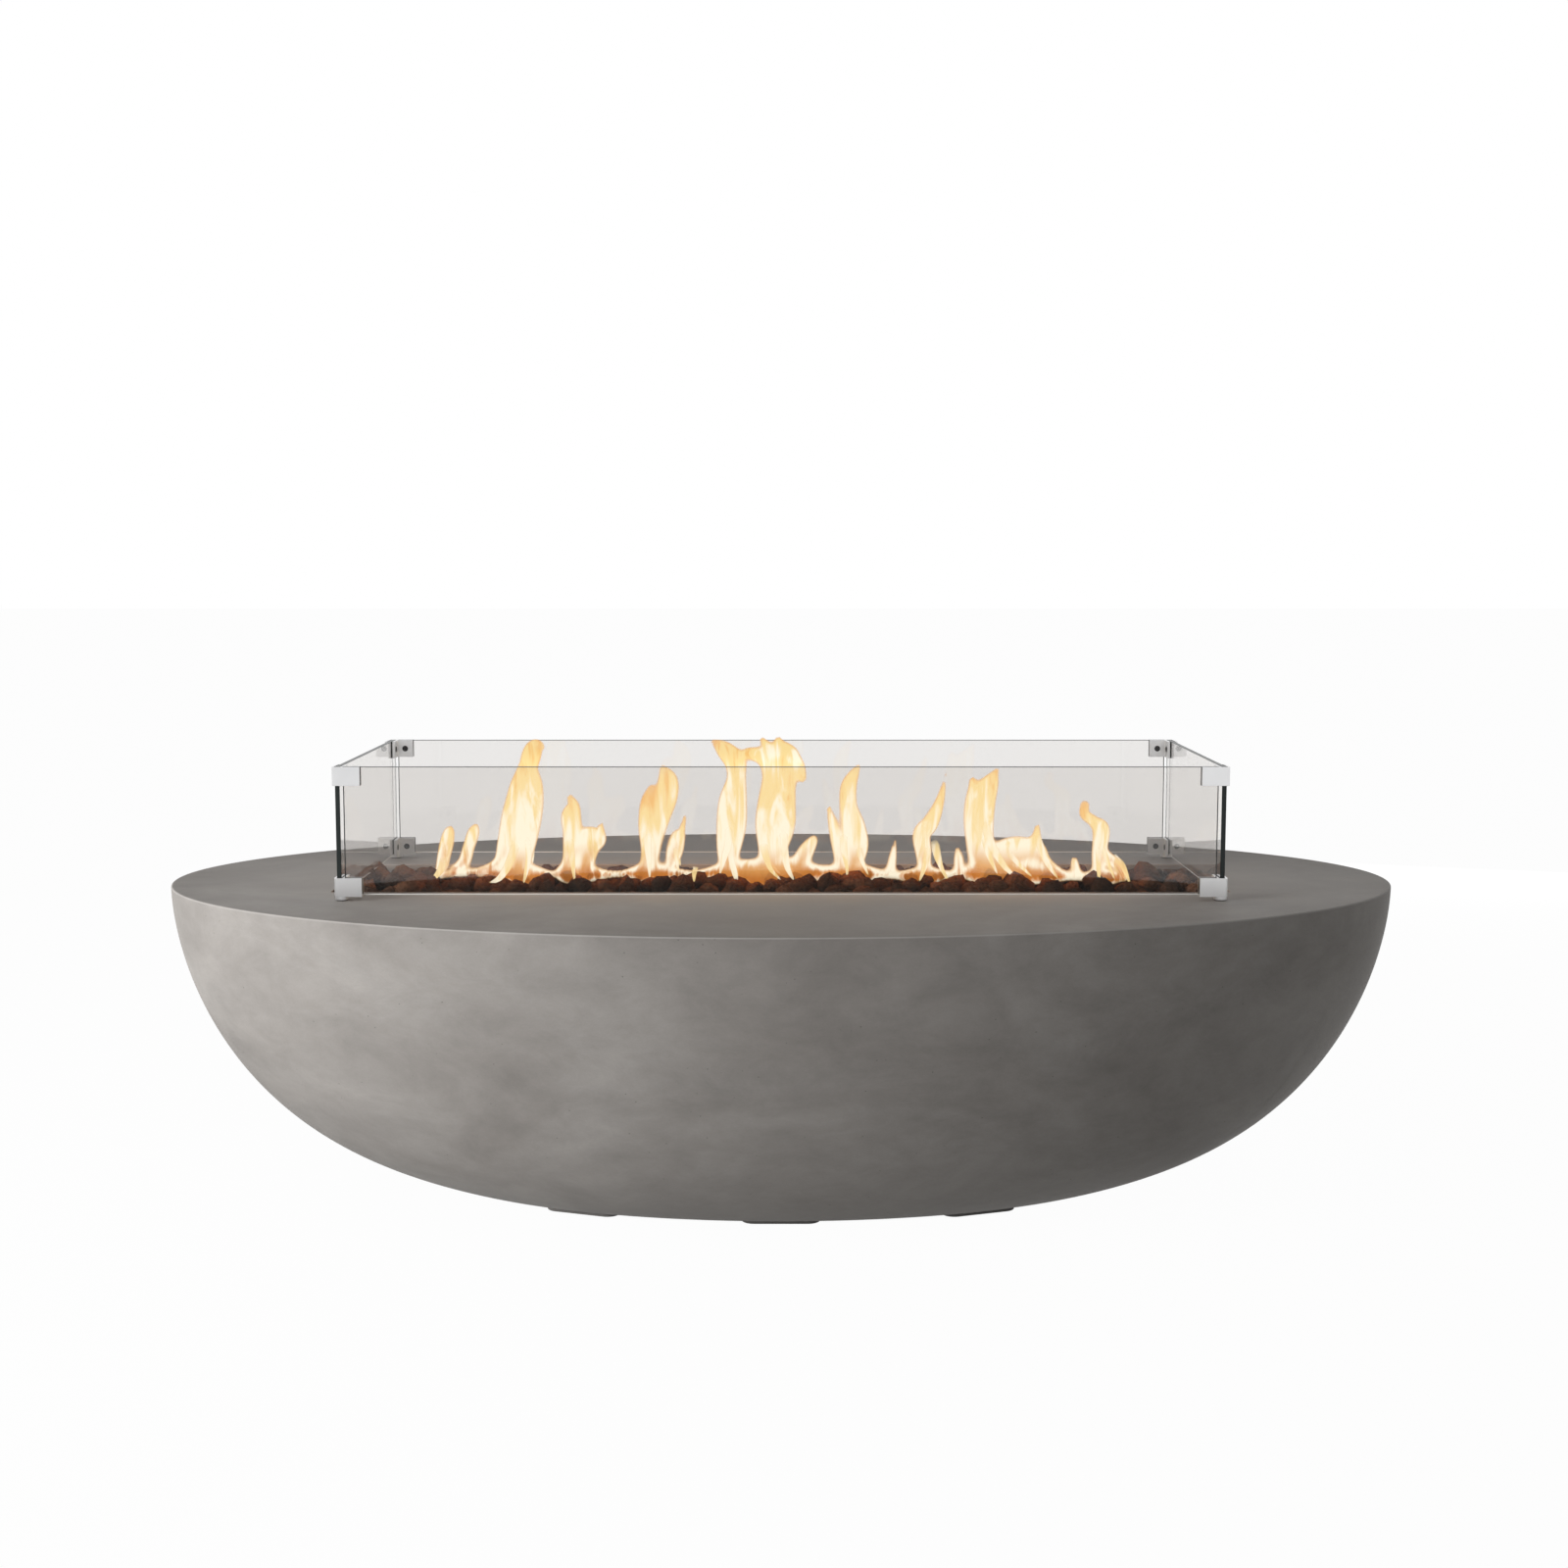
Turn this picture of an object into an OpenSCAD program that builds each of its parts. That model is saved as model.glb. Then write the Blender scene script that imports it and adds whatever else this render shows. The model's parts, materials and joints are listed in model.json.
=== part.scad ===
// Oval fire pit table: a cast concrete bowl with a linear gas burner and a glass wind guard.
// Millimetres. The origin is on the floor under the middle of the table, +X runs along its length, the front faces -Y.

/* [Table] */
// Overall length over the rim
table_length = 1650; // [1540:10:1800]
// Overall width over the rim
table_width = 914; // [880:2:1000]
// Height of the tabletop above the floor
table_height = 406; // [390:1:450]
// Thickness of the cast wall
wall = 26; // [22:1:30]
// Thickness of the cast top
top_thickness = 50; // [46:1:58]
// Thickness of the cast base round its access opening
base_thickness = 30; // [26:1:40]
// Bevel on the top edge
rim_bevel = 2; // [1:0.5:4]
// How far below the base the curve of the side would close
curve_overrun = 33; // [28:1:45]
// How early the side starts to turn in below the rim
turn_in = 1.77; // [1.6:0.01:2]
// How squarely the side turns under at the base
turn_under = 3.96; // [3.6:0.02:4.4]
// Length of the access opening in the base
access_length = 620; // [500:10:660]
// Width of the access opening in the base
access_width = 240; // [200:5:250]
// Corner radius of the access opening
access_radius = 50; // [20:5:80]

/* [Feet] */
// Length of a foot pad
foot_length = 100; // [80:1:120]
// Depth of a foot pad
foot_depth = 64; // [54:1:70]
// Height of a foot pad
foot_height = 10; // [8:1:20]
// Distance of a pad from the edge of the base
foot_inset = 20; // [14:1:24]
// Place of the outer pads along the length
foot_spread = 250; // [220:5:290]
// Diameter of a foot screw
foot_screw_d = 6; // [5:0.5:8]
// Length of a foot screw
foot_screw_length = 24; // [18:1:28]

/* [Burner opening] */
// Length of the opening in the tabletop
opening_length = 1180; // [1100:5:1220]
// Width of the opening in the tabletop
opening_width = 251; // [244:1:270]
// Depth of the seat for the pan's flange
seat_depth = 30; // [27:1:33]
// Width of the seat
seat_width = 14; // [10:1:16]

/* [Burner pan] */
// Thickness of the pan's sheet
pan_sheet = 1.5; // [1:0.25:2.5]
// Depth of the pan's floor below its flange
pan_depth = 32; // [30:1:45]
// Diameter of a drain hole
drain_d = 8; // [5:0.5:10]
// Spacing of the drain holes
drain_pitch = 200; // [150:10:220]

/* [Burner] */
// Length of the burner tube
burner_length = 1000; // [800:10:1060]
// Outside diameter of the burner tube
burner_d = 21.3; // [19:0.1:23]
// Wall of the burner tube
burner_wall = 2; // [1.5:0.1:2.5]
// Height of the tube above the pan's floor
burner_lift = 8; // [6:0.5:11]
// Diameter of a flame port
port_d = 3; // [2:0.25:4]
// Flame ports in each of the two rows
port_count = 24; // [12:2:40]
// Angle of a port from straight up
port_angle = 28; // [15:1:40]
// Outside diameter of the feed nipple
feed_d = 17.1; // [14:0.1:17.5]
// Length of the feed nipple
feed_length = 70; // [60:1:80]
// Diameter of the air mixer
mixer_d = 32; // [28:1:40]
// Length of the air mixer
mixer_length = 52; // [46:1:64]
// Diameter of an air hole in the mixer
air_hole_d = 9; // [6:0.5:12]
// Outside diameter of the burner hose
hose_d = 14; // [12:0.5:16]

/* [Lava rock] */
// Pitch of the rocks along the table
rock_pitch = 40.5; // [38:0.5:44]
// Gap between neighbouring rocks
rock_gap = 2; // [1:0.5:4]
// How far the highest rock stays below the tabletop
rock_freeboard = 4; // [2:0.5:8]

/* [Control panel] */
// Depth of the panel's middle below the rim
panel_drop = 175; // [165:1:190]
// Width of the panel
panel_width = 190; // [184:1:200]
// Height of the panel
panel_height = 84; // [80:1:90]
// Thickness of the panel
panel_sheet = 2; // [1.5:0.25:2.5]
// Corner radius of the panel
panel_radius = 6; // [3:0.5:10]
// Depth of the panel's seat below the cast surface
pocket_depth = 7; // [6.5:0.5:9]
// Width of the rim of concrete that the panel seats on
panel_seat_width = 16; // [14:1:18]
// Diameter of a panel screw
panel_screw_d = 4; // [3:0.5:4.5]
// Distance of the igniter and of the gas inlet from the knob
control_pitch = 58; // [55:1:60]

/* [Knob and valve] */
// Diameter of the knob
knob_d = 38; // [32:1:42]
// Height of the knob
knob_height = 15; // [13:0.5:16]
// Travel of the knob when it is pushed in
knob_push = 4; // [3:0.5:5]
// Diameter of the valve's stem
stem_d = 8; // [6:0.5:9]
// Side of the square valve body
valve_side = 36; // [32:1:40]
// Depth of the valve body behind the panel
valve_depth = 44; // [42:1:50]
// Diameter of the valve's threaded collar
collar_d = 18; // [16:0.5:20]

/* [Igniter] */
// Diameter of the igniter's button
button_d = 14; // [12:0.5:15]
// How far the button stands out of its bezel when it is pressed
button_proud = 2.5; // [1:0.5:4]
// Travel of the button
button_push = 5; // [3:0.5:6]
// Diameter of the igniter's threaded housing
igniter_d = 22; // [21:0.5:25]
// Length of the igniter's housing behind the panel
igniter_length = 62; // [56:1:70]

/* [Gas inlet] */
// Diameter of the inlet's flare thread
inlet_thread_d = 15.88; // [14:0.01:19]
// Length of the inlet's flare thread
inlet_thread_length = 14; // [10:1:16]
// Outside diameter of the inlet pipe
inlet_pipe_d = 9.5; // [8:0.1:10]

/* [Glass guard] */
// Length of the guard over its clips
guard_length = 1140; // [1060:5:1160]
// Depth of the guard over its clips
guard_depth = 400; // [380:2:420]
// Height of the guard above the tabletop
guard_height = 172; // [150:1:200]
// Thickness of the glass
glass = 6; // [5:0.5:8]
// Length of a clip along each panel
clip_leaf = 36; // [32:1:40]
// Height of a clip
clip_height = 24; // [20:1:30]
// Thickness of a clip's outer leaf
clip_outer = 3; // [2.5:0.25:4]
// Thickness of a clip's inner leaf
clip_inner = 3.5; // [3:0.25:5]
// Thickness of the floor of a bottom clip
clip_floor = 2.4; // [2.2:0.1:4]
// Gap at the corner between two panels
corner_gap = 4.2; // [4:0.2:6]
// Thickness of a clip's rubber liner
liner = 0.8; // [0.5:0.1:1.2]
// Diameter of a clip's set screw
clip_screw_d = 8; // [6:0.5:9]
// Diameter of a guard foot
guard_foot_d = 17; // [14:0.5:20]
// Height of a guard foot with its pad
guard_foot_height = 5.5; // [4:0.5:8]
// Thickness of the pad under a guard foot
guard_pad = 1; // [0.5:0.25:2]

/* [Fits] */
// Radial clearance of pins, stems and threads
running_gap = 0.05; // [0.02:0.01:0.1]
// Clearance of the pan in the burner opening
drop_in_gap = 2; // [1:0.25:3]
// Clearance of the panel in its pocket
pocket_gap = 1; // [0.5:0.25:2]
// Radial clearance of a hole in sheet metal
hole_gap = 0.2; // [0.1:0.05:0.4]
// Gap between flat faces that move past each other
slip_gap = 0.3; // [0.2:0.05:0.5]

/* [Hidden] */
$fn = 48;
oval_sides = 256;
overcut = 1;
through = 200;

concrete = "#8f8a85";
rubber = "#3a3a3a";
grey_rubber = "#7c7772";
steel = "#c4c7ca";
polished = "#dfe2e4";
brass = "#b8975a";
copper = "#b26a45";
black = "#232325";
red = "#a3271f";
lead_red = "#7a2c20";
ceramic = "#e8e4da";
rock = "#3d342f";
clear_glass = [0.78, 0.88, 0.86, 0.35];

half_length = table_length / 2;
half_width = table_width / 2;
bowl_depth = table_height - foot_height;
closing_depth = bowl_depth + curve_overrun;
side_steps = 24;
side_crowding = 1.6;

// Share of the rim's size that the oval has at a depth below the rim
function oval_share(depth) = pow(1 - pow(depth / closing_depth, turn_in), 1 / turn_under);
// Depths down the side, closer together where it turns under
function side_depth(step, from, to) = from + (to - from) * (1 - pow(1 - step / side_steps, side_crowding));
function wall_y(depth) = half_width * oval_share(depth);

base_half_length = half_length * oval_share(bowl_depth);
base_half_width = half_width * oval_share(bowl_depth);

// Feet: pads that follow the oval edge of the base
foot_line_x = base_half_length - foot_inset - foot_depth / 2;
foot_line_y = base_half_width - foot_inset - foot_depth / 2;
function foot_y(x) = foot_line_y * sqrt(1 - pow(x / foot_line_x, 2));
function foot_turn(x) = atan(pow(foot_line_y / foot_line_x, 2) * x / foot_y(x));
foot_places = [-foot_spread, 0, foot_spread];
foot_corner = 16;
foot_head_height = 4;
foot_head_d = 2 * foot_screw_d;
foot_head_recess = 1.5;
foot_screw_tip_z = foot_head_recess + foot_head_height + foot_screw_length;

// Burner opening and pan
seat_z = table_height - seat_depth;
pan_length = opening_length - 2 * seat_width - 2 * drop_in_gap;
pan_width = opening_width - 2 * seat_width - 2 * drop_in_gap;
flange_length = opening_length - 2 * drop_in_gap;
flange_width = opening_width - 2 * drop_in_gap;
pan_inner_length = pan_length - 2 * pan_sheet;
pan_inner_width = pan_width - 2 * pan_sheet;
pan_floor_z = seat_z - pan_depth;
pan_under_z = pan_floor_z - pan_sheet;
drain_y = pan_width / 4;

// Burner, nipple, mixer and jet elbow
burner_z = pan_floor_z + burner_lift + burner_d / 2;
burner_top_z = burner_z + burner_d / 2;
bore_d = burner_d - 2 * burner_wall;
cap_length = 16;
cap_wall = 2;
cap_end = burner_length / 2 + cap_wall;
socket_wall = 4.5;
port_margin = 2 * cap_length;
port_pitch = (burner_length - 2 * port_margin) / (port_count - 1);
saddle_from_end = 110;
saddle_x = burner_length / 2 - saddle_from_end;
saddle_thickness = 6;
saddle_cheek = 5;
feed_step = 1;
feed_top_z = burner_z - bore_d / 2 - feed_step;
feed_bottom_z = feed_top_z - feed_length;
feed_wall = 2.25;
feed_bore_d = feed_d - 2 * feed_wall;
feed_nut_height = 8;
feed_nut_wall = 7;
feed_nut_d = feed_d + 2 * feed_nut_wall;
mixer_socket = 15;
mixer_top_z = feed_bottom_z + mixer_socket;
mixer_bottom_z = mixer_top_z - mixer_length;
mixer_bore_d = 14;
jet_socket = 10;
jet_d = 1.8;
jet_hex_height = 8;
jet_hex_d = 22;
elbow_d = 18;
elbow_bore_d = 9;
elbow_drop = 16;
elbow_reach = 30;
elbow_z = mixer_bottom_z - elbow_drop;

// Control panel frame: seated in a flat pocket in the leaning rear wall
slope_step = 5;
panel_tilt = atan((wall_y(panel_drop - slope_step) - wall_y(panel_drop + slope_step)) / (2 * slope_step));
panel_y = wall_y(panel_drop) - pocket_depth * cos(panel_tilt);
panel_z = table_height - panel_drop + pocket_depth * sin(panel_tilt);
window_width = panel_width - 2 * panel_seat_width;
window_height = panel_height - 2 * panel_seat_width;
window_depth = 3 * wall;
panel_screw_x = panel_width / 2 - panel_seat_width / 2;
panel_screw_y = panel_height / 2 - panel_seat_width / 2;
panel_screw_length = 14;
hole_end_gap = 1;
function at_panel_point(p) = [
  p[0],
  panel_y - p[1] * sin(panel_tilt) + p[2] * cos(panel_tilt),
  panel_z - p[1] * cos(panel_tilt) - p[2] * sin(panel_tilt)
];
panel_inward = [0, -cos(panel_tilt), sin(panel_tilt)];
panel_upward = [0, sin(panel_tilt), cos(panel_tilt)];

// Valve, knob and stem, measured from the back of the panel outwards
valve_shoulder = 4;
valve_nut_height = 2.5;
valve_nut_wall = 5;
valve_nut_d = collar_d + 2 * valve_nut_wall;
collar_top = panel_sheet + valve_nut_height;
push_spare = 0.5;
knob_base = collar_top + knob_push + push_spare;
knob_top = knob_base + knob_height;
knob_cap = 4;
knob_skirt = 3;
knob_shoulder = 1.5;
knob_taper = 1;
knob_crown = 2;
stem_top = knob_top - knob_cap;
plunger_d = 2 * stem_d;
plunger_top = -10;
plunger_length = 10;
plunger_bottom = plunger_top - plunger_length;
chamber_top = plunger_top + slip_gap;
valve_spring_solid = 8;
valve_spring_turns = 4;
chamber_bottom = plunger_bottom - knob_push - valve_spring_solid;
spring_wire = 1.2;
outlet_d = 18;
outlet_length = 14;
valve_back = -valve_depth;
outlet_end = valve_back - outlet_length;
port_z = -26;
port_boss = 8;
port_boss_wall = 3;
sensor_port_d = 10;
sensor_port_length = 6;
sensor_port_z = -34;
grip_count = 18;
grip_d = 3;
grip_cut = 1.1;
pointer_width = 2;
pointer_cut = 0.8;
pointer_from = 2;
grub_d = 4;
grub_length = 8;
grub_height = 2.6;

// Igniter
bezel_rim = 3.5;
bezel_d = igniter_d + 2 * bezel_rim;
bezel_height = 2.5;
bezel_top = panel_sheet + bezel_height;
lip_height = 3;
button_collar = 4;
button_collar_rim = 1.5;
button_collar_d = button_d + 2 * button_collar_rim;
button_collar_top = bezel_top - lip_height - slip_gap;
button_collar_bottom = button_collar_top - button_collar;
button_top = bezel_top + button_push + button_proud;
igniter_spring_solid = 26;
igniter_spring_turns = 7;
igniter_cavity = button_collar_bottom - button_push - igniter_spring_solid;
terminal_d = 6;
terminal_length = 8;
panel_nut_height = 5;
igniter_nut_wall = 5.5;
igniter_nut_d = igniter_d + 2 * igniter_nut_wall;

// Gas inlet
inlet_hex_height = 4;
inlet_hex_wall = 4;
inlet_hex_d = inlet_thread_d + 2 * inlet_hex_wall;
inlet_bore_d = 8;
inlet_behind_port = 10;
inlet_back = port_z - inlet_behind_port;
inlet_top = panel_sheet + inlet_hex_height + inlet_thread_length;
inlet_pipe_wall = 1;
pipe_seat = 5;
inlet_pipe_from = -control_pitch + inlet_thread_d / 2 - pipe_seat;
inlet_pipe_to = -valve_side / 2 - port_boss + pipe_seat;

// Pilot bracket with its spark rod and flame sensor, beside the burner
pilot_x = 70;
pilot_span = 44;
pilot_depth = 16;
pilot_sheet = 2;
pilot_foot = 12;
pilot_rise = 18;
pilot_gap = 2;
pilot_y = burner_d / 2 + pilot_depth / 2 + pilot_gap;
pilot_tab_z = pan_floor_z + pilot_rise;
rod_spacing = 20;
spark_x = pilot_x - rod_spacing / 2;
sensor_x = pilot_x + rod_spacing / 2;
insulator_d = 7;
insulator_plug = 4;
spark_rod_d = 2;
sensor_d = 6;
rod_shoulder = 1.5;
rod_shoulder_height = 4;
rod_hole_gap = 1;
rod_below_pan = 12;
pilot_low_z = pan_under_z - rod_below_pan;
insulator_rise = 2;
spark_rise = 14;
sensor_rise = 8;
insulator_top_z = burner_top_z + insulator_rise;
spark_top_z = burner_top_z + spark_rise;
sensor_top_z = burner_top_z + sensor_rise;
pilot_screw_d = 4;
pilot_screw_length = 8;
pilot_screw_x = pilot_span / 2 + pilot_sheet + pilot_foot / 2;
small_head_height = 2.4;
ignition_lead_d = 6;
sensor_lead_d = 4;

// Lava rock: staggered rows of lumps, the middle row on the burner and the others on the pan's floor
rock_columns = floor(pan_inner_length / rock_pitch);
rock_rows = [-2, -1, 0, 1, 2];
rock_row_pitch = pan_inner_width / len(rock_rows);
rock_top_z = table_height - rock_freeboard;
rock_unevenness = 7;
rock_seed = 11;
pilot_clear_x = pilot_span / 2 + pilot_sheet + pilot_foot + rock_pitch / 2;

// Guard
clip_slot = glass + 2 * liner;
clip_depth = clip_outer + clip_slot + clip_inner;
slot_end_gap = 1;
front_glass_start = clip_outer + liner + glass + corner_gap;
front_slot_start = front_glass_start - slot_end_gap;
clip_corner_radius = 5;
clip_base_z = table_height + guard_foot_height;
glass_bottom_z = clip_base_z + clip_floor;
glass_top_z = table_height + guard_height;
top_clip_z = glass_top_z - clip_height;
clip_screw_at = (clip_depth + clip_leaf) / 2;
guard_foot_at = guard_foot_d / 2;
guard_stud_d = 5;
guard_stud_length = 2;
guard_pad_inset = 1.5;
clip_screw_proud = 0.6;
clip_key_d = clip_screw_d / 2;
hex_key_d = 3;
hex_key_depth = 2;
corners = [[-1, -1], [1, -1], [-1, 1], [1, 1]];

// Points that hang between two places, lower in the middle by the sag
bend_count = 6;
function hang(from, to, sag) = [
  for (i = [1 : bend_count])
    let (t = i / (bend_count + 1))
    from + t * (to - from) - [0, 0, sag * sin(180 * t)]
];
// A route that leaves both ends straight and hangs between them
function hung_route(start, leaving, end, arriving, sag) = [
  start,
  start + leaving,
  each hang(start + leaving, end + arriving, sag),
  end + arriving,
  end
];

// Routes of the hose and of the two leads, from the burner to the control panel
hose_run_out = 20;
hose_sag = 18;
hose_start = [0, elbow_reach, elbow_z];
hose_end = at_panel_point([0, 0, outlet_end]);
hose_route = hung_route(hose_start, [0, hose_run_out, 0], hose_end, hose_run_out * panel_inward, hose_sag);
lead_run_out = 15;
ignition_sag = 16;
ignition_start = [spark_x, pilot_y, pilot_low_z];
ignition_end = at_panel_point([control_pitch, 0, -igniter_length - terminal_length]);
ignition_route = hung_route(
  ignition_start, [0, 0, -lead_run_out], ignition_end, lead_run_out * panel_inward, ignition_sag
);
sensor_sag = -6;
sensor_start = [sensor_x, pilot_y, pilot_low_z];
sensor_end = at_panel_point([0, -valve_side / 2 - sensor_port_length, sensor_port_z]);
sensor_route = hung_route(
  sensor_start, [0, 0, -lead_run_out], sensor_end, lead_run_out * panel_upward, sensor_sag
);
route_steps = 2;
hose_sides = 12;
lead_sides = 8;

// Smooth curve through the points of a route
function blend_point(a, b, c, d, t) =
  0.5 * (2 * b + (c - a) * t + (2 * a - 5 * b + 4 * c - d) * t * t + (3 * b - a - 3 * c + d) * t * t * t);
function smooth_route(points) =
  let (last = len(points) - 1)
  [
    for (i = [0 : last - 1], s = [0 : route_steps - 1])
      blend_point(points[max(i - 1, 0)], points[i], points[i + 1], points[min(i + 2, last)], s / route_steps),
    points[last]
  ];
function unit(v) = v / norm(v);
function ring(centre, along, radius, sides) =
  let (u = unit(cross([1, 0, 0], along)), v = cross(along, u))
  [for (k = [0 : sides - 1]) centre + radius * (cos(360 * k / sides) * u + sin(360 * k / sides) * v)];

// A tube of triangles through rings of points
function tube_faces(rings, sides) = [
  [for (k = [0 : sides - 1]) sides - 1 - k],
  for (i = [0 : rings - 2])
    for (k = [0 : sides - 1])
      let (a = i * sides + k, b = i * sides + (k + 1) % sides)
      each [[a, b, a + sides], [b, b + sides, a + sides]],
  [for (k = [0 : sides - 1]) (rings - 1) * sides + k]
];

module tube(route, diameter, sides) {
  path = smooth_route(route);
  last = len(path) - 1;
  end = len(route) - 1;
  function along(i) =
    i == 0 ? unit(route[1] - route[0])
    : i == last ? unit(route[end] - route[end - 1])
    : unit(path[i + 1] - path[i - 1]);
  points = [
    for (i = [0 : last])
      each ring(path[i], along(i), diameter / 2, sides)
  ];
  polyhedron(points, tube_faces(last + 1, sides));
}

// A compression spring between two heights, wound round the local Z axis
module coil(mean_d, wire_d, from, to, turns) {
  rings_per_turn = 8;
  sides = 6;
  rings = turns * rings_per_turn + 1;
  low = from + wire_d / 2;
  rise = to - from - wire_d;
  points = [
    for (i = [0 : rings - 1])
      let (turn = 360 * i / rings_per_turn, out = [cos(turn), sin(turn), 0])
      each [
        for (k = [0 : sides - 1])
          (mean_d / 2 + wire_d / 2 * cos(360 * k / sides)) * out
            + [0, 0, low + rise * i / (rings - 1) + wire_d / 2 * sin(360 * k / sides)]
      ]
  ];
  polyhedron(points, tube_faces(rings, sides));
}

module rounded_rectangle(length, width, radius) {
  square([length - 2 * radius, width], center = true);
  square([length, width - 2 * radius], center = true);
  for (x = [-1, 1], y = [-1, 1])
    translate([x * (length / 2 - radius), y * (width / 2 - radius)])
      circle(radius);
}

module centred_box(length, width, height) {
  translate([-length / 2, -width / 2, 0])
    cube([length, width, height]);
}

module hex_nut(across_corners, height, bore) {
  difference() {
    cylinder(d = across_corners, h = height, $fn = 6);
    translate([0, 0, -overcut])
      cylinder(d = bore, h = height + 2 * overcut);
  }
}

// Local Z points out of the leaning rear wall, and zero is the back of the panel
module at_panel() {
  translate([0, panel_y, panel_z])
    rotate([-90 - panel_tilt, 0, 0])
      children();
}

module at_each_foot() {
  for (x = foot_places, side = [-1, 1])
    translate([x, side * foot_y(x), 0])
      rotate([0, 0, -side * foot_turn(x)])
        children();
}

// The oval solid of the outside of the bowl
module oval_outside() {
  profile = [
    [0, table_height],
    [half_length - rim_bevel, table_height],
    for (i = [0 : side_steps])
      let (depth = side_depth(i, rim_bevel, bowl_depth))
      [half_length * oval_share(depth), table_height - depth],
    [0, foot_height]
  ];
  scale([1, half_width / half_length, 1])
    rotate_extrude($fn = oval_sides)
      polygon(profile);
}

// The oval hollow under the top
module oval_inside() {
  inner_half_length = half_length - wall;
  profile = [
    [0, table_height - top_thickness],
    for (i = [0 : side_steps])
      let (depth = side_depth(i, top_thickness, bowl_depth - base_thickness))
      [half_length * oval_share(depth) - wall, table_height - depth],
    [0, foot_height + base_thickness]
  ];
  scale([1, (half_width - wall) / inner_half_length, 1])
    rotate_extrude($fn = oval_sides)
      polygon(profile);
}

module bowl() {
  color(concrete)
    difference() {
      oval_outside();
      oval_inside();
      translate([0, 0, seat_z])
        centred_box(opening_length, opening_width, seat_depth + overcut);
      translate([0, 0, table_height - top_thickness - overcut])
        centred_box(opening_length - 2 * seat_width, opening_width - 2 * seat_width, top_thickness);
      translate([0, 0, foot_height - overcut])
        linear_extrude(base_thickness + 2 * overcut)
          rounded_rectangle(access_length, access_width, access_radius);
      at_panel() {
        linear_extrude(through)
          rounded_rectangle(panel_width + 2 * pocket_gap, panel_height + 2 * pocket_gap, panel_radius + pocket_gap);
        translate([0, 0, -window_depth])
          centred_box(window_width, window_height, window_depth + overcut);
        for (x = [-1, 1], y = [-1, 1])
          translate([x * panel_screw_x, y * panel_screw_y, -panel_screw_length])
            cylinder(d = panel_screw_d + 2 * running_gap, h = panel_screw_length + overcut);
      }
      at_each_foot()
        translate([0, 0, foot_height - overcut])
          cylinder(d = foot_screw_d + 2 * running_gap, h = foot_screw_length + overcut);
    }
}

module feet() {
  color(grey_rubber)
    at_each_foot()
      difference() {
        linear_extrude(foot_height)
          rounded_rectangle(foot_length, foot_depth, foot_corner);
        translate([0, 0, -overcut])
          cylinder(d = foot_screw_d + 2 * hole_gap, h = foot_height + 2 * overcut);
        translate([0, 0, -overcut])
          cylinder(d = foot_head_d + 2 * hole_gap, h = foot_head_height + foot_head_recess + overcut);
      }
}

module foot_screws() {
  color(steel)
    at_each_foot()
      difference() {
        translate([0, 0, foot_head_recess]) {
          cylinder(d = foot_head_d, h = foot_head_height);
          cylinder(d = foot_screw_d, h = foot_screw_tip_z - foot_head_recess);
        }
        translate([0, 0, foot_head_recess - overcut])
          cylinder(d = foot_screw_d, h = hex_key_depth + overcut, $fn = 6);
      }
}

module burner_pan() {
  drain_count = floor(pan_inner_length / drain_pitch / 2);
  color(steel)
    difference() {
      union() {
        translate([0, 0, seat_z])
          centred_box(flange_length, flange_width, pan_sheet);
        translate([0, 0, pan_under_z])
          centred_box(pan_length, pan_width, pan_depth + pan_sheet);
      }
      translate([0, 0, pan_floor_z])
        centred_box(pan_inner_length, pan_inner_width, pan_depth + pan_sheet + overcut);
      translate([0, 0, pan_under_z - overcut]) {
        cylinder(d = feed_d + 2 * hole_gap, h = pan_sheet + 2 * overcut);
        translate([spark_x, pilot_y, 0])
          cylinder(d = insulator_d + 2 * rod_hole_gap, h = pan_sheet + 2 * overcut);
        translate([sensor_x, pilot_y, 0])
          cylinder(d = sensor_d + 2 * rod_hole_gap, h = pan_sheet + 2 * overcut);
        for (x = [-1, 1])
          translate([pilot_x + x * pilot_screw_x, pilot_y, 0])
            cylinder(d = pilot_screw_d + 2 * running_gap, h = pan_sheet + 2 * overcut);
        for (i = [1 : drain_count], x = [-1, 1], y = [-1, 1])
          translate([x * i * drain_pitch, y * drain_y, 0])
            cylinder(d = drain_d, h = pan_sheet + 2 * overcut);
      }
    }
}

module burner_tube() {
  color(steel)
    difference() {
      union() {
        translate([-burner_length / 2, 0, burner_z])
          rotate([0, 90, 0])
            cylinder(d = burner_d, h = burner_length);
        translate([0, 0, pan_floor_z])
          cylinder(d = feed_d + 2 * socket_wall, h = burner_lift + burner_d / 2);
      }
      translate([-burner_length / 2 - overcut, 0, burner_z])
        rotate([0, 90, 0])
          cylinder(d = bore_d, h = burner_length + 2 * overcut);
      translate([0, 0, pan_floor_z - overcut])
        cylinder(d = feed_d + 2 * running_gap, h = feed_top_z - pan_floor_z + overcut);
      translate([0, 0, feed_top_z - overcut])
        cylinder(d = feed_bore_d, h = burner_d / 2);
      for (i = [0 : port_count - 1], side = [-1, 1])
        translate([(i - (port_count - 1) / 2) * port_pitch, 0, burner_z])
          rotate([side * port_angle, 0, 0])
            cylinder(d = port_d, h = burner_d);
    }
}

module burner_end_caps() {
  color(steel)
    for (side = [-1, 1])
      translate([side * cap_end, 0, burner_z])
        rotate([0, -side * 90, 0])
          difference() {
            cylinder(d = burner_d + 2 * cap_wall, h = cap_length);
            translate([0, 0, cap_wall])
              cylinder(d = burner_d + 2 * running_gap, h = cap_length);
          }
}

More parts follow.
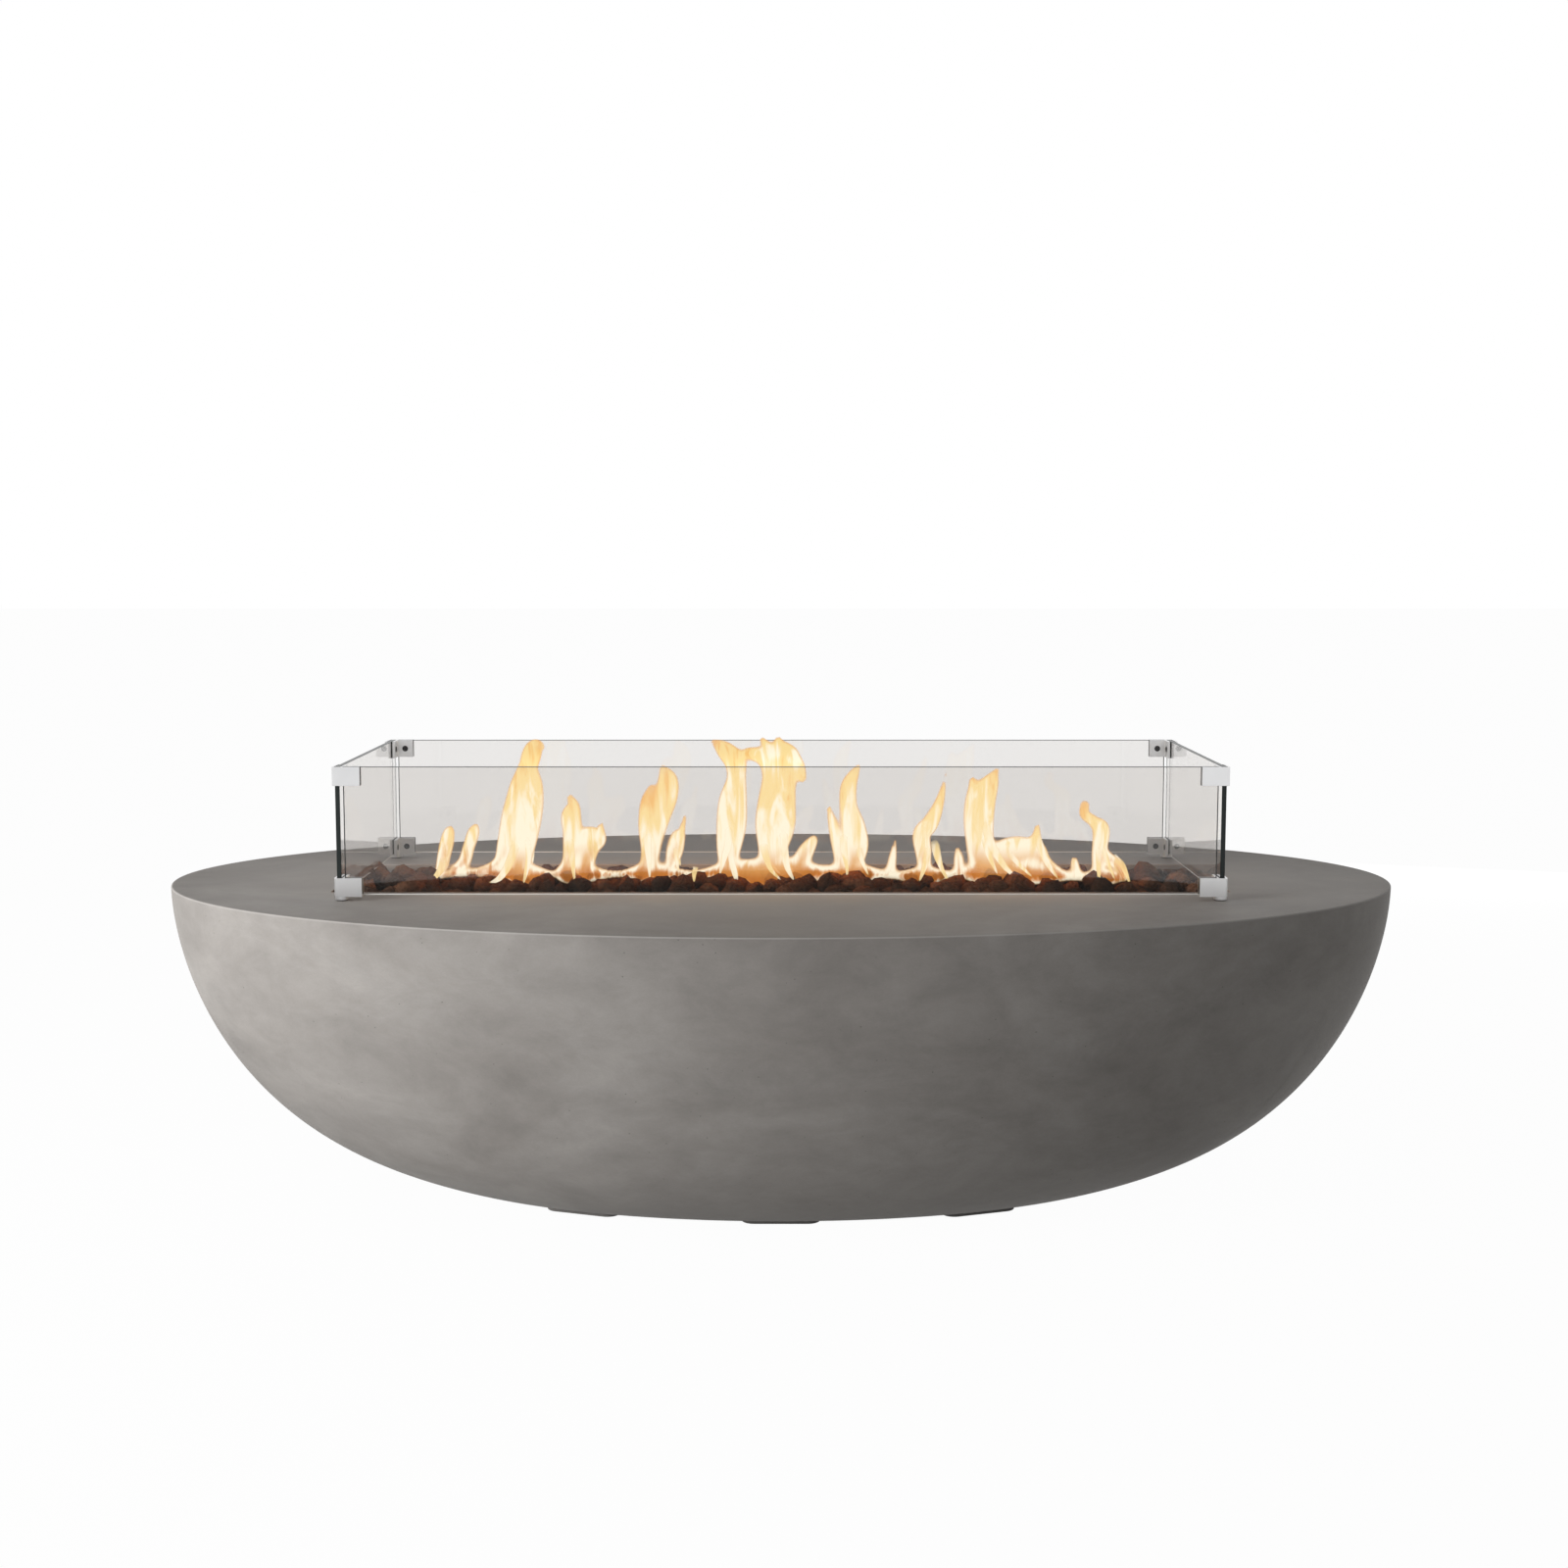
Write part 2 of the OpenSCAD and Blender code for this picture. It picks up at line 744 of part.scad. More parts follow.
module burner_saddles() {
  color(steel)
    for (side = [-1, 1])
      difference() {
        translate([side * saddle_x, 0, pan_floor_z])
          centred_box(saddle_thickness, burner_d + 2 * saddle_cheek, burner_lift + burner_d / 2);
        translate([side * saddle_x - saddle_thickness, 0, burner_z])
          rotate([0, 90, 0])
            cylinder(d = burner_d + 2 * running_gap, h = 2 * saddle_thickness);
      }
}

module burner_feed() {
  color(steel)
    translate([0, 0, feed_bottom_z])
      difference() {
        cylinder(d = feed_d, h = feed_length);
        translate([0, 0, -overcut])
          cylinder(d = feed_bore_d, h = feed_length + 2 * overcut);
      }
}

module feed_locknut() {
  color(steel)
    translate([0, 0, pan_under_z - feed_nut_height])
      hex_nut(feed_nut_d, feed_nut_height, feed_d + 2 * running_gap);
}

module air_mixer() {
  color(steel)
    difference() {
      translate([0, 0, mixer_bottom_z])
        cylinder(d = mixer_d, h = mixer_length);
      translate([0, 0, feed_bottom_z])
        cylinder(d = feed_d + 2 * running_gap, h = mixer_socket + overcut);
      translate([0, 0, mixer_bottom_z - overcut])
        cylinder(d = mixer_bore_d, h = mixer_length);
      for (turn = [45, 135])
        translate([0, 0, (mixer_bottom_z + jet_socket + feed_bottom_z) / 2])
          rotate([0, 90, turn])
            cylinder(d = air_hole_d, h = 2 * mixer_d, center = true);
    }
}

module jet_elbow() {
  color(brass)
    difference() {
      union() {
        translate([0, 0, mixer_bottom_z])
          cylinder(d = mixer_bore_d - 2 * running_gap, h = jet_socket);
        translate([0, 0, mixer_bottom_z - jet_hex_height])
          cylinder(d = jet_hex_d, h = jet_hex_height, $fn = 6);
        translate([0, 0, elbow_z])
          cylinder(d = elbow_d, h = elbow_drop);
        translate([0, 0, elbow_z])
          sphere(d = elbow_d);
        translate([0, 0, elbow_z])
          rotate([-90, 0, 0])
            cylinder(d = elbow_d, h = elbow_reach);
      }
      translate([0, 0, elbow_z])
        cylinder(d = jet_d, h = 2 * elbow_drop + jet_socket);
      translate([0, 0, elbow_z])
        rotate([-90, 0, 0])
          cylinder(d = elbow_bore_d, h = elbow_reach + overcut);
      translate([0, 0, elbow_z])
        cylinder(d = elbow_bore_d, h = elbow_drop);
    }
}

module burner_hose() {
  color(steel)
    tube(hose_route, hose_d, hose_sides);
}

// One lump: a twelve-cornered stone standing on its lowest corner
module lump(length, width, height, turn, seed) {
  shrink = rands(0.84, 1.05, 10, seed);
  belt = 0.894;
  belt_height = 0.447;
  points = [
    [0, 0, height],
    for (level = [0, 1], k = [0 : 4])
      let (angle = turn + 72 * k + 36 * level, reach = belt * shrink[5 * level + k])
      [
        length / 2 * reach * cos(angle),
        width / 2 * reach * sin(angle),
        height / 2 * (1 + (level == 0 ? belt_height : -belt_height))
      ],
    [0, 0, 0]
  ];
  faces = [
    for (k = [0 : 4])
      let (n = (k + 1) % 5)
      each [[0, 1 + n, 1 + k], [1 + k, 1 + n, 6 + k], [1 + n, 6 + n, 6 + k], [11, 6 + k, 6 + n]]
  ];
  polyhedron(points, faces);
}

module lava_rock() {
  rock_total = rock_columns * len(rock_rows);
  lower = rands(0, rock_unevenness, rock_total, rock_seed);
  turns = rands(0, 72, rock_total, rock_seed + 1);
  color(rock)
    for (row = rock_rows) {
      columns = row % 2 == 0 ? rock_columns : rock_columns - 1;
      for (column = [0 : columns - 1]) {
        index = (row + 2) * rock_columns + column;
        x = (column - (columns - 1) / 2) * rock_pitch;
        on_burner = row == 0 && abs(x) < burner_length / 2 - cap_length;
        at_cap = row == 0 && !on_burner && abs(x) < cap_end + rock_pitch / 2;
        at_pilot = abs(x - pilot_x) < pilot_clear_x && (row == 0 || row == 1);
        floor_z = on_burner ? burner_top_z : pan_floor_z;
        if (!at_cap && !at_pilot)
          translate([x, row * rock_row_pitch, floor_z])
            lump(rock_pitch - rock_gap, rock_row_pitch - rock_gap, rock_top_z - lower[index] - floor_z,
              turns[index], rock_seed + index);
      }
    }
}

module control_panel() {
  color(steel)
    at_panel()
      difference() {
        linear_extrude(panel_sheet)
          rounded_rectangle(panel_width, panel_height, panel_radius);
        for (hole = [[0, collar_d], [control_pitch, igniter_d], [-control_pitch, inlet_thread_d]])
          translate([hole[0], 0, -overcut])
            cylinder(d = hole[1] + 2 * hole_gap, h = panel_sheet + 2 * overcut);
        for (x = [-1, 1], y = [-1, 1])
          translate([x * panel_screw_x, y * panel_screw_y, -overcut])
            cylinder(d = panel_screw_d + 2 * hole_gap, h = panel_sheet + 2 * overcut);
      }
}

module panel_screws() {
  color(polished)
    at_panel()
      for (x = [-1, 1], y = [-1, 1])
        translate([x * panel_screw_x, y * panel_screw_y, 0])
          difference() {
            union() {
              translate([0, 0, hole_end_gap - panel_screw_length])
                cylinder(d = panel_screw_d, h = panel_screw_length - hole_end_gap + panel_sheet);
              translate([0, 0, panel_sheet])
                cylinder(d = 2 * panel_screw_d, h = small_head_height);
            }
            translate([0, 0, panel_sheet + small_head_height - hex_key_depth])
              cylinder(d = hex_key_d, h = hex_key_depth + overcut, $fn = 6);
          }
}

module gas_valve() {
  color(brass)
    at_panel()
      difference() {
        union() {
          translate([0, 0, valve_back])
            centred_box(valve_side, valve_side, valve_depth - valve_shoulder);
          translate([0, 0, -valve_shoulder])
            cylinder(d = valve_nut_d, h = valve_shoulder);
          translate([0, 0, -valve_shoulder])
            cylinder(d = collar_d, h = valve_shoulder + collar_top);
          translate([0, 0, outlet_end])
            cylinder(d = outlet_d, h = outlet_length + overcut);
          translate([-valve_side / 2 - port_boss, 0, port_z])
            rotate([0, 90, 0])
              cylinder(d = inlet_pipe_d + 2 * port_boss_wall, h = port_boss + overcut);
          translate([0, -valve_side / 2 - sensor_port_length, sensor_port_z])
            rotate([-90, 0, 0])
              cylinder(d = sensor_port_d, h = sensor_port_length + overcut);
        }
        translate([0, 0, chamber_top - overcut])
          cylinder(d = stem_d + 2 * running_gap, h = through);
        translate([0, 0, chamber_bottom])
          cylinder(d = plunger_d + 2 * running_gap, h = chamber_top - chamber_bottom);
        translate([0, 0, outlet_end - overcut])
          cylinder(d = inlet_bore_d, h = chamber_bottom - outlet_end + 2 * overcut);
        translate([-valve_side / 2 - port_boss - overcut, 0, port_z])
          rotate([0, 90, 0])
            cylinder(d = inlet_pipe_d + 2 * running_gap, h = pipe_seat + overcut);
        translate([-valve_side / 2 - port_boss, 0, port_z])
          rotate([0, 90, 0])
            cylinder(d = inlet_pipe_d - 2 * inlet_pipe_wall, h = valve_side / 2 + port_boss);
      }
}

module valve_nut() {
  color(polished)
    at_panel()
      translate([0, 0, panel_sheet])
        hex_nut(valve_nut_d, valve_nut_height, collar_d + 2 * running_gap);
}

module valve_plunger() {
  color(brass)
    at_panel()
      translate([0, 0, plunger_bottom])
        difference() {
          cylinder(d = plunger_d, h = plunger_length);
          translate([0, 0, -overcut])
            cylinder(d = plunger_d / 2, h = plunger_length / 2 + overcut);
        }
}

module valve_spring() {
  mean_d = plunger_d - 3 * spring_wire;
  color(steel)
    at_panel()
      coil(mean_d, spring_wire, chamber_bottom, plunger_bottom, valve_spring_turns);
}

module valve_stem() {
  low = plunger_top + slip_gap / 2;
  color(steel)
    at_panel()
      translate([0, 0, low])
        cylinder(d = stem_d, h = stem_top - low);
}

module control_knob() {
  skirt_r = knob_d / 2;
  grip_r = skirt_r - 2 * knob_shoulder;
  top_r = grip_r - knob_taper;
  grip_from = knob_skirt + knob_shoulder;
  color(black)
    at_panel()
      difference() {
        translate([0, 0, knob_base])
          rotate_extrude()
            polygon([
              [0, 0], [skirt_r, 0], [skirt_r, knob_skirt], [grip_r, grip_from],
              [top_r, knob_height - knob_crown], [top_r - knob_crown, knob_height], [0, knob_height]
            ]);
        translate([0, 0, knob_base - overcut])
          cylinder(d = stem_d + 2 * running_gap, h = stem_top - knob_base + overcut);
        for (i = [0 : grip_count - 1])
          rotate([0, 0, 360 / grip_count * (i + 0.5)])
            translate([grip_r + grip_d / 2 - grip_cut, 0, knob_base + grip_from + grip_d / 3])
              cylinder(d = grip_d, h = knob_height);
        translate([-pointer_width / 2, -skirt_r, knob_top - pointer_cut])
          cube([pointer_width, skirt_r - pointer_from, knob_height]);
        translate([0, 0, knob_base + grub_height])
          rotate([0, 90, 90])
            cylinder(d = grub_d + 2 * running_gap, h = knob_d);
      }
}

module knob_grub_screw() {
  color(black)
    at_panel()
      translate([0, stem_d / 2 + running_gap, knob_base + grub_height])
        rotate([-90, 0, 0])
          difference() {
            cylinder(d = grub_d, h = grub_length);
            translate([0, 0, grub_length - hex_key_depth])
              cylinder(d = grub_d / 2, h = hex_key_depth + overcut, $fn = 6);
          }
}

module igniter_housing() {
  color(black)
    at_panel()
      translate([control_pitch, 0, 0])
        difference() {
          union() {
            translate([0, 0, -igniter_length])
              cylinder(d = igniter_d, h = igniter_length + panel_sheet);
            translate([0, 0, panel_sheet])
              cylinder(d = bezel_d, h = bezel_height);
            translate([0, 0, -igniter_length - terminal_length])
              cylinder(d = terminal_d, h = terminal_length + overcut);
          }
          translate([0, 0, igniter_cavity])
            cylinder(d = button_collar_d + 2 * running_gap, h = bezel_top - lip_height - igniter_cavity);
          translate([0, 0, igniter_cavity])
            cylinder(d = button_d + 2 * running_gap, h = through);
        }
}

module igniter_nut() {
  color(steel)
    at_panel()
      translate([control_pitch, 0, -panel_nut_height])
        hex_nut(igniter_nut_d, panel_nut_height, igniter_d + 2 * running_gap);
}

module igniter_button() {
  color(red)
    at_panel()
      translate([control_pitch, 0, button_collar_bottom]) {
        cylinder(d = button_collar_d, h = button_collar);
        cylinder(d = button_d, h = button_top - button_collar_bottom);
      }
}

module igniter_spring() {
  mean_d = button_d - 3 * spring_wire;
  color(steel)
    at_panel()
      translate([control_pitch, 0, 0])
        coil(mean_d, spring_wire, igniter_cavity, button_collar_bottom, igniter_spring_turns);
}

module gas_inlet() {
  color(brass)
    at_panel()
      translate([-control_pitch, 0, 0])
        difference() {
          union() {
            translate([0, 0, inlet_back])
              cylinder(d = inlet_thread_d, h = inlet_top - inlet_back);
            translate([0, 0, panel_sheet])
              cylinder(d = inlet_hex_d, h = inlet_hex_height, $fn = 6);
          }
          translate([0, 0, port_z])
            cylinder(d = inlet_bore_d, h = through);
          translate([inlet_thread_d / 2 - pipe_seat, 0, port_z])
            rotate([0, 90, 0])
              cylinder(d = inlet_pipe_d + 2 * running_gap, h = pipe_seat + overcut);
        }
}

module inlet_nut() {
  color(brass)
    at_panel()
      translate([-control_pitch, 0, -panel_nut_height])
        hex_nut(inlet_hex_d, panel_nut_height, inlet_thread_d + 2 * running_gap);
}

module inlet_pipe() {
  length = inlet_pipe_to - inlet_pipe_from;
  color(copper)
    at_panel()
      translate([inlet_pipe_from, 0, port_z])
        rotate([0, 90, 0])
          difference() {
            cylinder(d = inlet_pipe_d, h = length);
            translate([0, 0, -overcut])
              cylinder(d = inlet_pipe_d - 2 * inlet_pipe_wall, h = length + 2 * overcut);
          }
}

module pilot_bracket() {
  tab_length = pilot_span + 2 * pilot_sheet;
  color(steel)
    translate([pilot_x, pilot_y, 0])
      difference() {
        union() {
          translate([0, 0, pilot_tab_z])
            centred_box(tab_length, pilot_depth, pilot_sheet);
          for (side = [-1, 1]) {
            translate([side * (pilot_span + pilot_sheet) / 2, 0, pan_floor_z])
              centred_box(pilot_sheet, pilot_depth, pilot_tab_z - pan_floor_z + pilot_sheet);
            translate([side * (tab_length + pilot_foot - pilot_sheet) / 2, 0, pan_floor_z])
              centred_box(pilot_foot + pilot_sheet, pilot_depth, pilot_sheet);
          }
        }
        translate([spark_x - pilot_x, 0, pilot_tab_z - overcut])
          cylinder(d = insulator_d + 2 * running_gap, h = pilot_sheet + 2 * overcut);
        translate([sensor_x - pilot_x, 0, pilot_tab_z - overcut])
          cylinder(d = sensor_d + 2 * running_gap, h = pilot_sheet + 2 * overcut);
        for (side = [-1, 1])
          translate([side * pilot_screw_x, 0, pan_floor_z - overcut])
            cylinder(d = pilot_screw_d + 2 * running_gap, h = pilot_sheet + 2 * overcut);
      }
}

module pilot_screws() {
  seat = pan_floor_z + pilot_sheet;
  color(steel)
    for (side = [-1, 1])
      translate([pilot_x + side * pilot_screw_x, pilot_y, seat])
        difference() {
          union() {
            translate([0, 0, -pilot_screw_length])
              cylinder(d = pilot_screw_d, h = pilot_screw_length);
            cylinder(d = 2 * pilot_screw_d, h = small_head_height);
          }
          translate([0, 0, small_head_height - hex_key_depth])
            cylinder(d = hex_key_d, h = hex_key_depth + overcut, $fn = 6);
        }
}

module spark_insulator() {
  color(ceramic)
    translate([spark_x, pilot_y, 0])
      difference() {
        union() {
          translate([0, 0, pilot_low_z])
            cylinder(d = insulator_d, h = insulator_top_z - pilot_low_z);
          translate([0, 0, pilot_tab_z + pilot_sheet])
            cylinder(d = insulator_d + 2 * rod_shoulder, h = rod_shoulder_height);
        }
        translate([0, 0, pilot_low_z + insulator_plug])
          cylinder(d = spark_rod_d + 2 * running_gap, h = insulator_top_z - pilot_low_z);
      }
}

module spark_rod() {
  low_z = pilot_low_z + insulator_plug;
  color(steel)
    translate([spark_x, pilot_y, low_z])
      cylinder(d = spark_rod_d, h = spark_top_z - low_z);
}

module flame_sensor() {
  dome_z = sensor_top_z - sensor_d / 2;
  color(copper)
    translate([sensor_x, pilot_y, 0]) {
      translate([0, 0, pilot_low_z])
        cylinder(d = sensor_d, h = dome_z - pilot_low_z);
      translate([0, 0, dome_z])
        sphere(d = sensor_d);
      translate([0, 0, pilot_tab_z + pilot_sheet])
        cylinder(d = sensor_d + 2 * rod_shoulder, h = rod_shoulder_height);
    }
}

module ignition_lead() {
  color(lead_red)
    tube(ignition_route, ignition_lead_d, lead_sides);
}

module sensor_lead() {
  color(copper)
    tube(sensor_route, sensor_lead_d, lead_sides);
}

// Local X and Y point into the guard from one of its outer corners
module at_corner(corner) {
  translate([corner[0] * guard_length / 2, corner[1] * guard_depth / 2, 0])
    mirror([corner[0] > 0 ? 1 : 0, 0, 0])
      mirror([0, corner[1] > 0 ? 1 : 0, 0])
        children();
}

module long_panel(side) {
  length = guard_length - 2 * front_glass_start;
  inset = guard_depth / 2 - clip_outer - liner - glass / 2;
  color(clear_glass)
    translate([0, side * inset, glass_bottom_z])
      centred_box(length, glass, glass_top_z - glass_bottom_z);
}

module end_panel(side) {
  depth = guard_depth - 2 * (clip_outer + liner);
  inset = guard_length / 2 - clip_outer - liner - glass / 2;
  color(clear_glass)
    translate([side * inset, 0, glass_bottom_z])
      centred_box(glass, depth, glass_top_z - glass_bottom_z);
}

module glass_front() {
  long_panel(-1);
}

module glass_back() {
  long_panel(1);
}

module glass_left() {
  end_panel(-1);
}

module glass_right() {
  end_panel(1);
}

// A corner clip with a slot for the end panel and a slot for the long panel
module corner_clip(corner, z, floor_height) {
  slot_from = floor_height > 0 ? floor_height : -overcut;
  color(polished)
    at_corner(corner)
      translate([0, 0, z])
        difference() {
          union() {
            translate([clip_corner_radius, 0, 0])
              cube([clip_leaf - clip_corner_radius, clip_depth, clip_height]);
            translate([0, clip_corner_radius, 0])
              cube([clip_depth, clip_leaf - clip_corner_radius, clip_height]);
            translate([clip_corner_radius, clip_corner_radius, 0])
              cylinder(r = clip_corner_radius, h = clip_height);
          }
          translate([clip_outer, clip_outer, slot_from])
            cube([clip_slot, clip_leaf, clip_height + 2 * overcut]);
          translate([front_slot_start, clip_outer, slot_from])
            cube([clip_leaf, clip_slot, clip_height + 2 * overcut]);
          for (swap = [false, true])
            clip_screw_place(swap, -overcut)
              cylinder(d = clip_screw_d + 2 * running_gap, h = clip_inner + 2 * overcut);
          if (floor_height > 0)
            translate([guard_foot_at, guard_foot_at, -overcut])
              cylinder(d = guard_stud_d + 2 * running_gap, h = guard_stud_length + overcut + running_gap);
        }
}

// Axis of a clip's set screw, from the slot's wall out through the inner leaf
module clip_screw_place(swap, from) {
  place = clip_outer + clip_slot + from;
  translate(swap ? [place, clip_screw_at, clip_height / 2] : [clip_screw_at, place, clip_height / 2])
    rotate(swap ? [0, 90, 0] : [-90, 0, 0])
      children();
}

module top_clip(corner) {
  corner_clip(corner, top_clip_z, 0);
}

module bottom_clip(corner) {
  corner_clip(corner, clip_base_z, clip_floor);
}

module clip_front_left_top() {
  top_clip(corners[0]);
}

module clip_front_right_top() {
  top_clip(corners[1]);
}

module clip_back_left_top() {
  top_clip(corners[2]);
}

module clip_back_right_top() {
  top_clip(corners[3]);
}

module clip_front_left_bottom() {
  bottom_clip(corners[0]);
}

module clip_front_right_bottom() {
  bottom_clip(corners[1]);
}

module clip_back_left_bottom() {
  bottom_clip(corners[2]);
}

module clip_back_right_bottom() {
  bottom_clip(corners[3]);
}

// Rubber strips on both sides of the glass in every slot
module clip_liners() {
  end_from = clip_outer + liner;
  color(rubber)
    for (corner = corners, level = [[glass_bottom_z, clip_height - clip_floor], [top_clip_z, clip_height]])
      at_corner(corner)
        translate([0, 0, level[0]])
          for (layer = [clip_outer, clip_outer + liner + glass]) {
            translate([layer, end_from, 0])
              cube([liner, clip_leaf - end_from, level[1]]);
            translate([front_glass_start, layer, 0])
              cube([clip_leaf - front_glass_start, liner, level[1]]);
          }
}

module clip_screws() {
  length = clip_inner + clip_screw_proud;
  color(black)
    for (corner = corners, z = [clip_base_z, top_clip_z])
      at_corner(corner)
        translate([0, 0, z])
          for (swap = [false, true])
            clip_screw_place(swap, 0)
              difference() {
                cylinder(d = clip_screw_d, h = length);
                translate([0, 0, length - hex_key_depth])
                  cylinder(d = clip_key_d, h = hex_key_depth + overcut, $fn = 6);
              }
}

module guard_feet() {
  color(polished)
    for (corner = corners)
      at_corner(corner)
        translate([guard_foot_at, guard_foot_at, table_height + guard_pad]) {
          cylinder(d = guard_foot_d, h = guard_foot_height - guard_pad);
          cylinder(d = guard_stud_d, h = guard_foot_height - guard_pad + guard_stud_length);
        }
}

module guard_foot_pads() {
  color(rubber)
    for (corner = corners)
      at_corner(corner)
        translate([guard_foot_at, guard_foot_at, table_height])
          cylinder(d = guard_foot_d - 2 * guard_pad_inset, h = guard_pad);
}

bowl();
feet();
foot_screws();
burner_pan();
burner_tube();
burner_end_caps();
burner_saddles();
burner_feed();
feed_locknut();
air_mixer();
jet_elbow();
burner_hose();
lava_rock();
control_panel();
panel_screws();
gas_valve();
valve_nut();
valve_plunger();
valve_spring();
valve_stem();
control_knob();
knob_grub_screw();
igniter_housing();
igniter_nut();
igniter_button();
igniter_spring();
gas_inlet();
inlet_nut();
inlet_pipe();
pilot_bracket();
pilot_screws();
spark_insulator();
spark_rod();
flame_sensor();
ignition_lead();
sensor_lead();
glass_front();
glass_back();
glass_left();
glass_right();
clip_front_left_top();
clip_front_right_top();
clip_back_left_top();
clip_back_right_top();
clip_front_left_bottom();
clip_front_right_bottom();
clip_back_left_bottom();
clip_back_right_bottom();
clip_liners();
clip_screws();
guard_feet();
guard_foot_pads();
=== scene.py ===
import itertools
import json
import math
import random
import bmesh
import bpy
import numpy
from mathutils import Euler, Matrix, Vector, noise

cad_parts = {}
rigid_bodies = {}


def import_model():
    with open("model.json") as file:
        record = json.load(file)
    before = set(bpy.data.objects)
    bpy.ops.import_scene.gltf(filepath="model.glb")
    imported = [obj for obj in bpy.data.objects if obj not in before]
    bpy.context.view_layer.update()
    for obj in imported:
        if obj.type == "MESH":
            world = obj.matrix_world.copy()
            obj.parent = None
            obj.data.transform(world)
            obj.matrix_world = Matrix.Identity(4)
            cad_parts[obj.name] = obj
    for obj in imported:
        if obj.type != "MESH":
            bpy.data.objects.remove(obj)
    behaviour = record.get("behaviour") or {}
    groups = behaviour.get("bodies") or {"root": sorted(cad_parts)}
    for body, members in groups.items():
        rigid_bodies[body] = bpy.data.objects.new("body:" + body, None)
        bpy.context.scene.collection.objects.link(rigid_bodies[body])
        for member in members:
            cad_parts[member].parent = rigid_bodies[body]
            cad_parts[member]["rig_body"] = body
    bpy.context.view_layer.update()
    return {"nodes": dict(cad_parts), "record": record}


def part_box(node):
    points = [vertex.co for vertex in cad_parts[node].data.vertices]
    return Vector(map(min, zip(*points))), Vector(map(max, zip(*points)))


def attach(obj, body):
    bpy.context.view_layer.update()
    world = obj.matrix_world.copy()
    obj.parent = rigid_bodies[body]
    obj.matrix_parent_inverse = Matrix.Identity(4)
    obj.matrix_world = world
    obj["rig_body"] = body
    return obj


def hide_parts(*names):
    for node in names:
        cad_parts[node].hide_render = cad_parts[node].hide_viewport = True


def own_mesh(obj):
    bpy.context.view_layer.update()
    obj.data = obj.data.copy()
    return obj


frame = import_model()
nodes = frame["nodes"]
scene = bpy.context.scene
scene.view_settings.view_transform = "Standard"
print("frame loaded:", len(nodes), "nodes")

# camera at the photograph's place: in front of the table's middle, above the guard, looking slightly down
viewpoint = {"lens": 48.4, "sensor": 36.0, "place": (0.004, -2.856, 0.847), "pitch": 6.24}
cameraData = bpy.data.cameras.new("viewCamera")
cameraData.lens = viewpoint["lens"]
cameraData.sensor_width = viewpoint["sensor"]
camera = bpy.data.objects.new("viewCamera", cameraData)
camera.location = viewpoint["place"]
camera.rotation_euler = Euler((math.radians(90 - viewpoint["pitch"]), 0, 0))
scene.collection.objects.link(camera)
scene.camera = camera
print("camera set")


# shader helpers
def addNode(tree, kind, **values):
    node = tree.nodes.new(kind)
    for name, value in values.items():
        if hasattr(node, name):
            setattr(node, name, value)
        else:
            node.inputs[name].default_value = value
    return node


def startGroup(name, inputs, outputs):
    tree = bpy.data.node_groups.new(name, "ShaderNodeTree")
    for direction, sockets in (("INPUT", inputs), ("OUTPUT", outputs)):
        for socket, kind in sockets.items():
            tree.interface.new_socket(socket, in_out=direction, socket_type=kind)
    return tree, tree.nodes.new("NodeGroupInput"), tree.nodes.new("NodeGroupOutput")


def useGroup(tree, group, place, **values):
    node = tree.nodes.new("ShaderNodeGroup")
    node.node_tree = group
    for name, value in values.items():
        node.inputs[name].default_value = value
    tree.links.new(place, node.inputs["Vector"])
    return node


def remap(tree, value, start, end, low=0.0, high=1.0, smooth=False):
    node = addNode(tree, "ShaderNodeMapRange")
    if smooth:
        node.interpolation_type = "SMOOTHSTEP"
    for name, number in (("From Min", start), ("From Max", end), ("To Min", low), ("To Max", high)):
        node.inputs[name].default_value = number
    tree.links.new(value, node.inputs["Value"])
    return node.outputs["Result"]


def spread(tree, value, low, high):
    return remap(tree, value, 0.0, 1.0, low, high)


def combine(tree, operation, first, second):
    node = addNode(tree, "ShaderNodeMath", operation=operation)
    for socket, value in zip(node.inputs, (first, second)):
        if isinstance(value, float):
            socket.default_value = value
        else:
            tree.links.new(value, socket)
    return node.outputs[0]


def blendColours(tree, factor, first, second):
    node = addNode(tree, "ShaderNodeMix", data_type="RGBA")
    tree.links.new(factor, node.inputs[0])
    for socket, colour in ((node.inputs[6], first), (node.inputs[7], second)):
        if isinstance(colour, tuple):
            socket.default_value = (*colour, 1)
        else:
            tree.links.new(colour, socket)
    return node.outputs[2]


def dim(tree, colour, factor):
    node = addNode(tree, "ShaderNodeVectorMath", operation="SCALE")
    tree.links.new(colour, node.inputs[0])
    tree.links.new(factor, node.inputs["Scale"])
    return node.outputs[0]


def axisPart(tree, place, axis):
    node = addNode(tree, "ShaderNodeSeparateXYZ")
    tree.links.new(place, node.inputs["Vector"])
    return node.outputs[axis]


def layerValue(tree, name):
    return addNode(tree, "ShaderNodeAttribute", attribute_name=name).outputs["Fac"]


def noiseAt(tree, place, **values):
    node = addNode(tree, "ShaderNodeTexNoise", **values)
    tree.links.new(place, node.inputs["Vector"])
    return node


def sweepPlace(tree, place, **values):
    node = addNode(tree, "ShaderNodeMapping", **values)
    tree.links.new(place, node.inputs["Vector"])
    return node.outputs["Vector"]


def mixShaders(tree, factor, first, second, output):
    mixed = addNode(tree, "ShaderNodeMixShader")
    for socket, value in zip(mixed.inputs, (factor, first, second)):
        tree.links.new(value, socket)
    tree.links.new(mixed.outputs["Shader"], tree.nodes[output].inputs["Surface"])


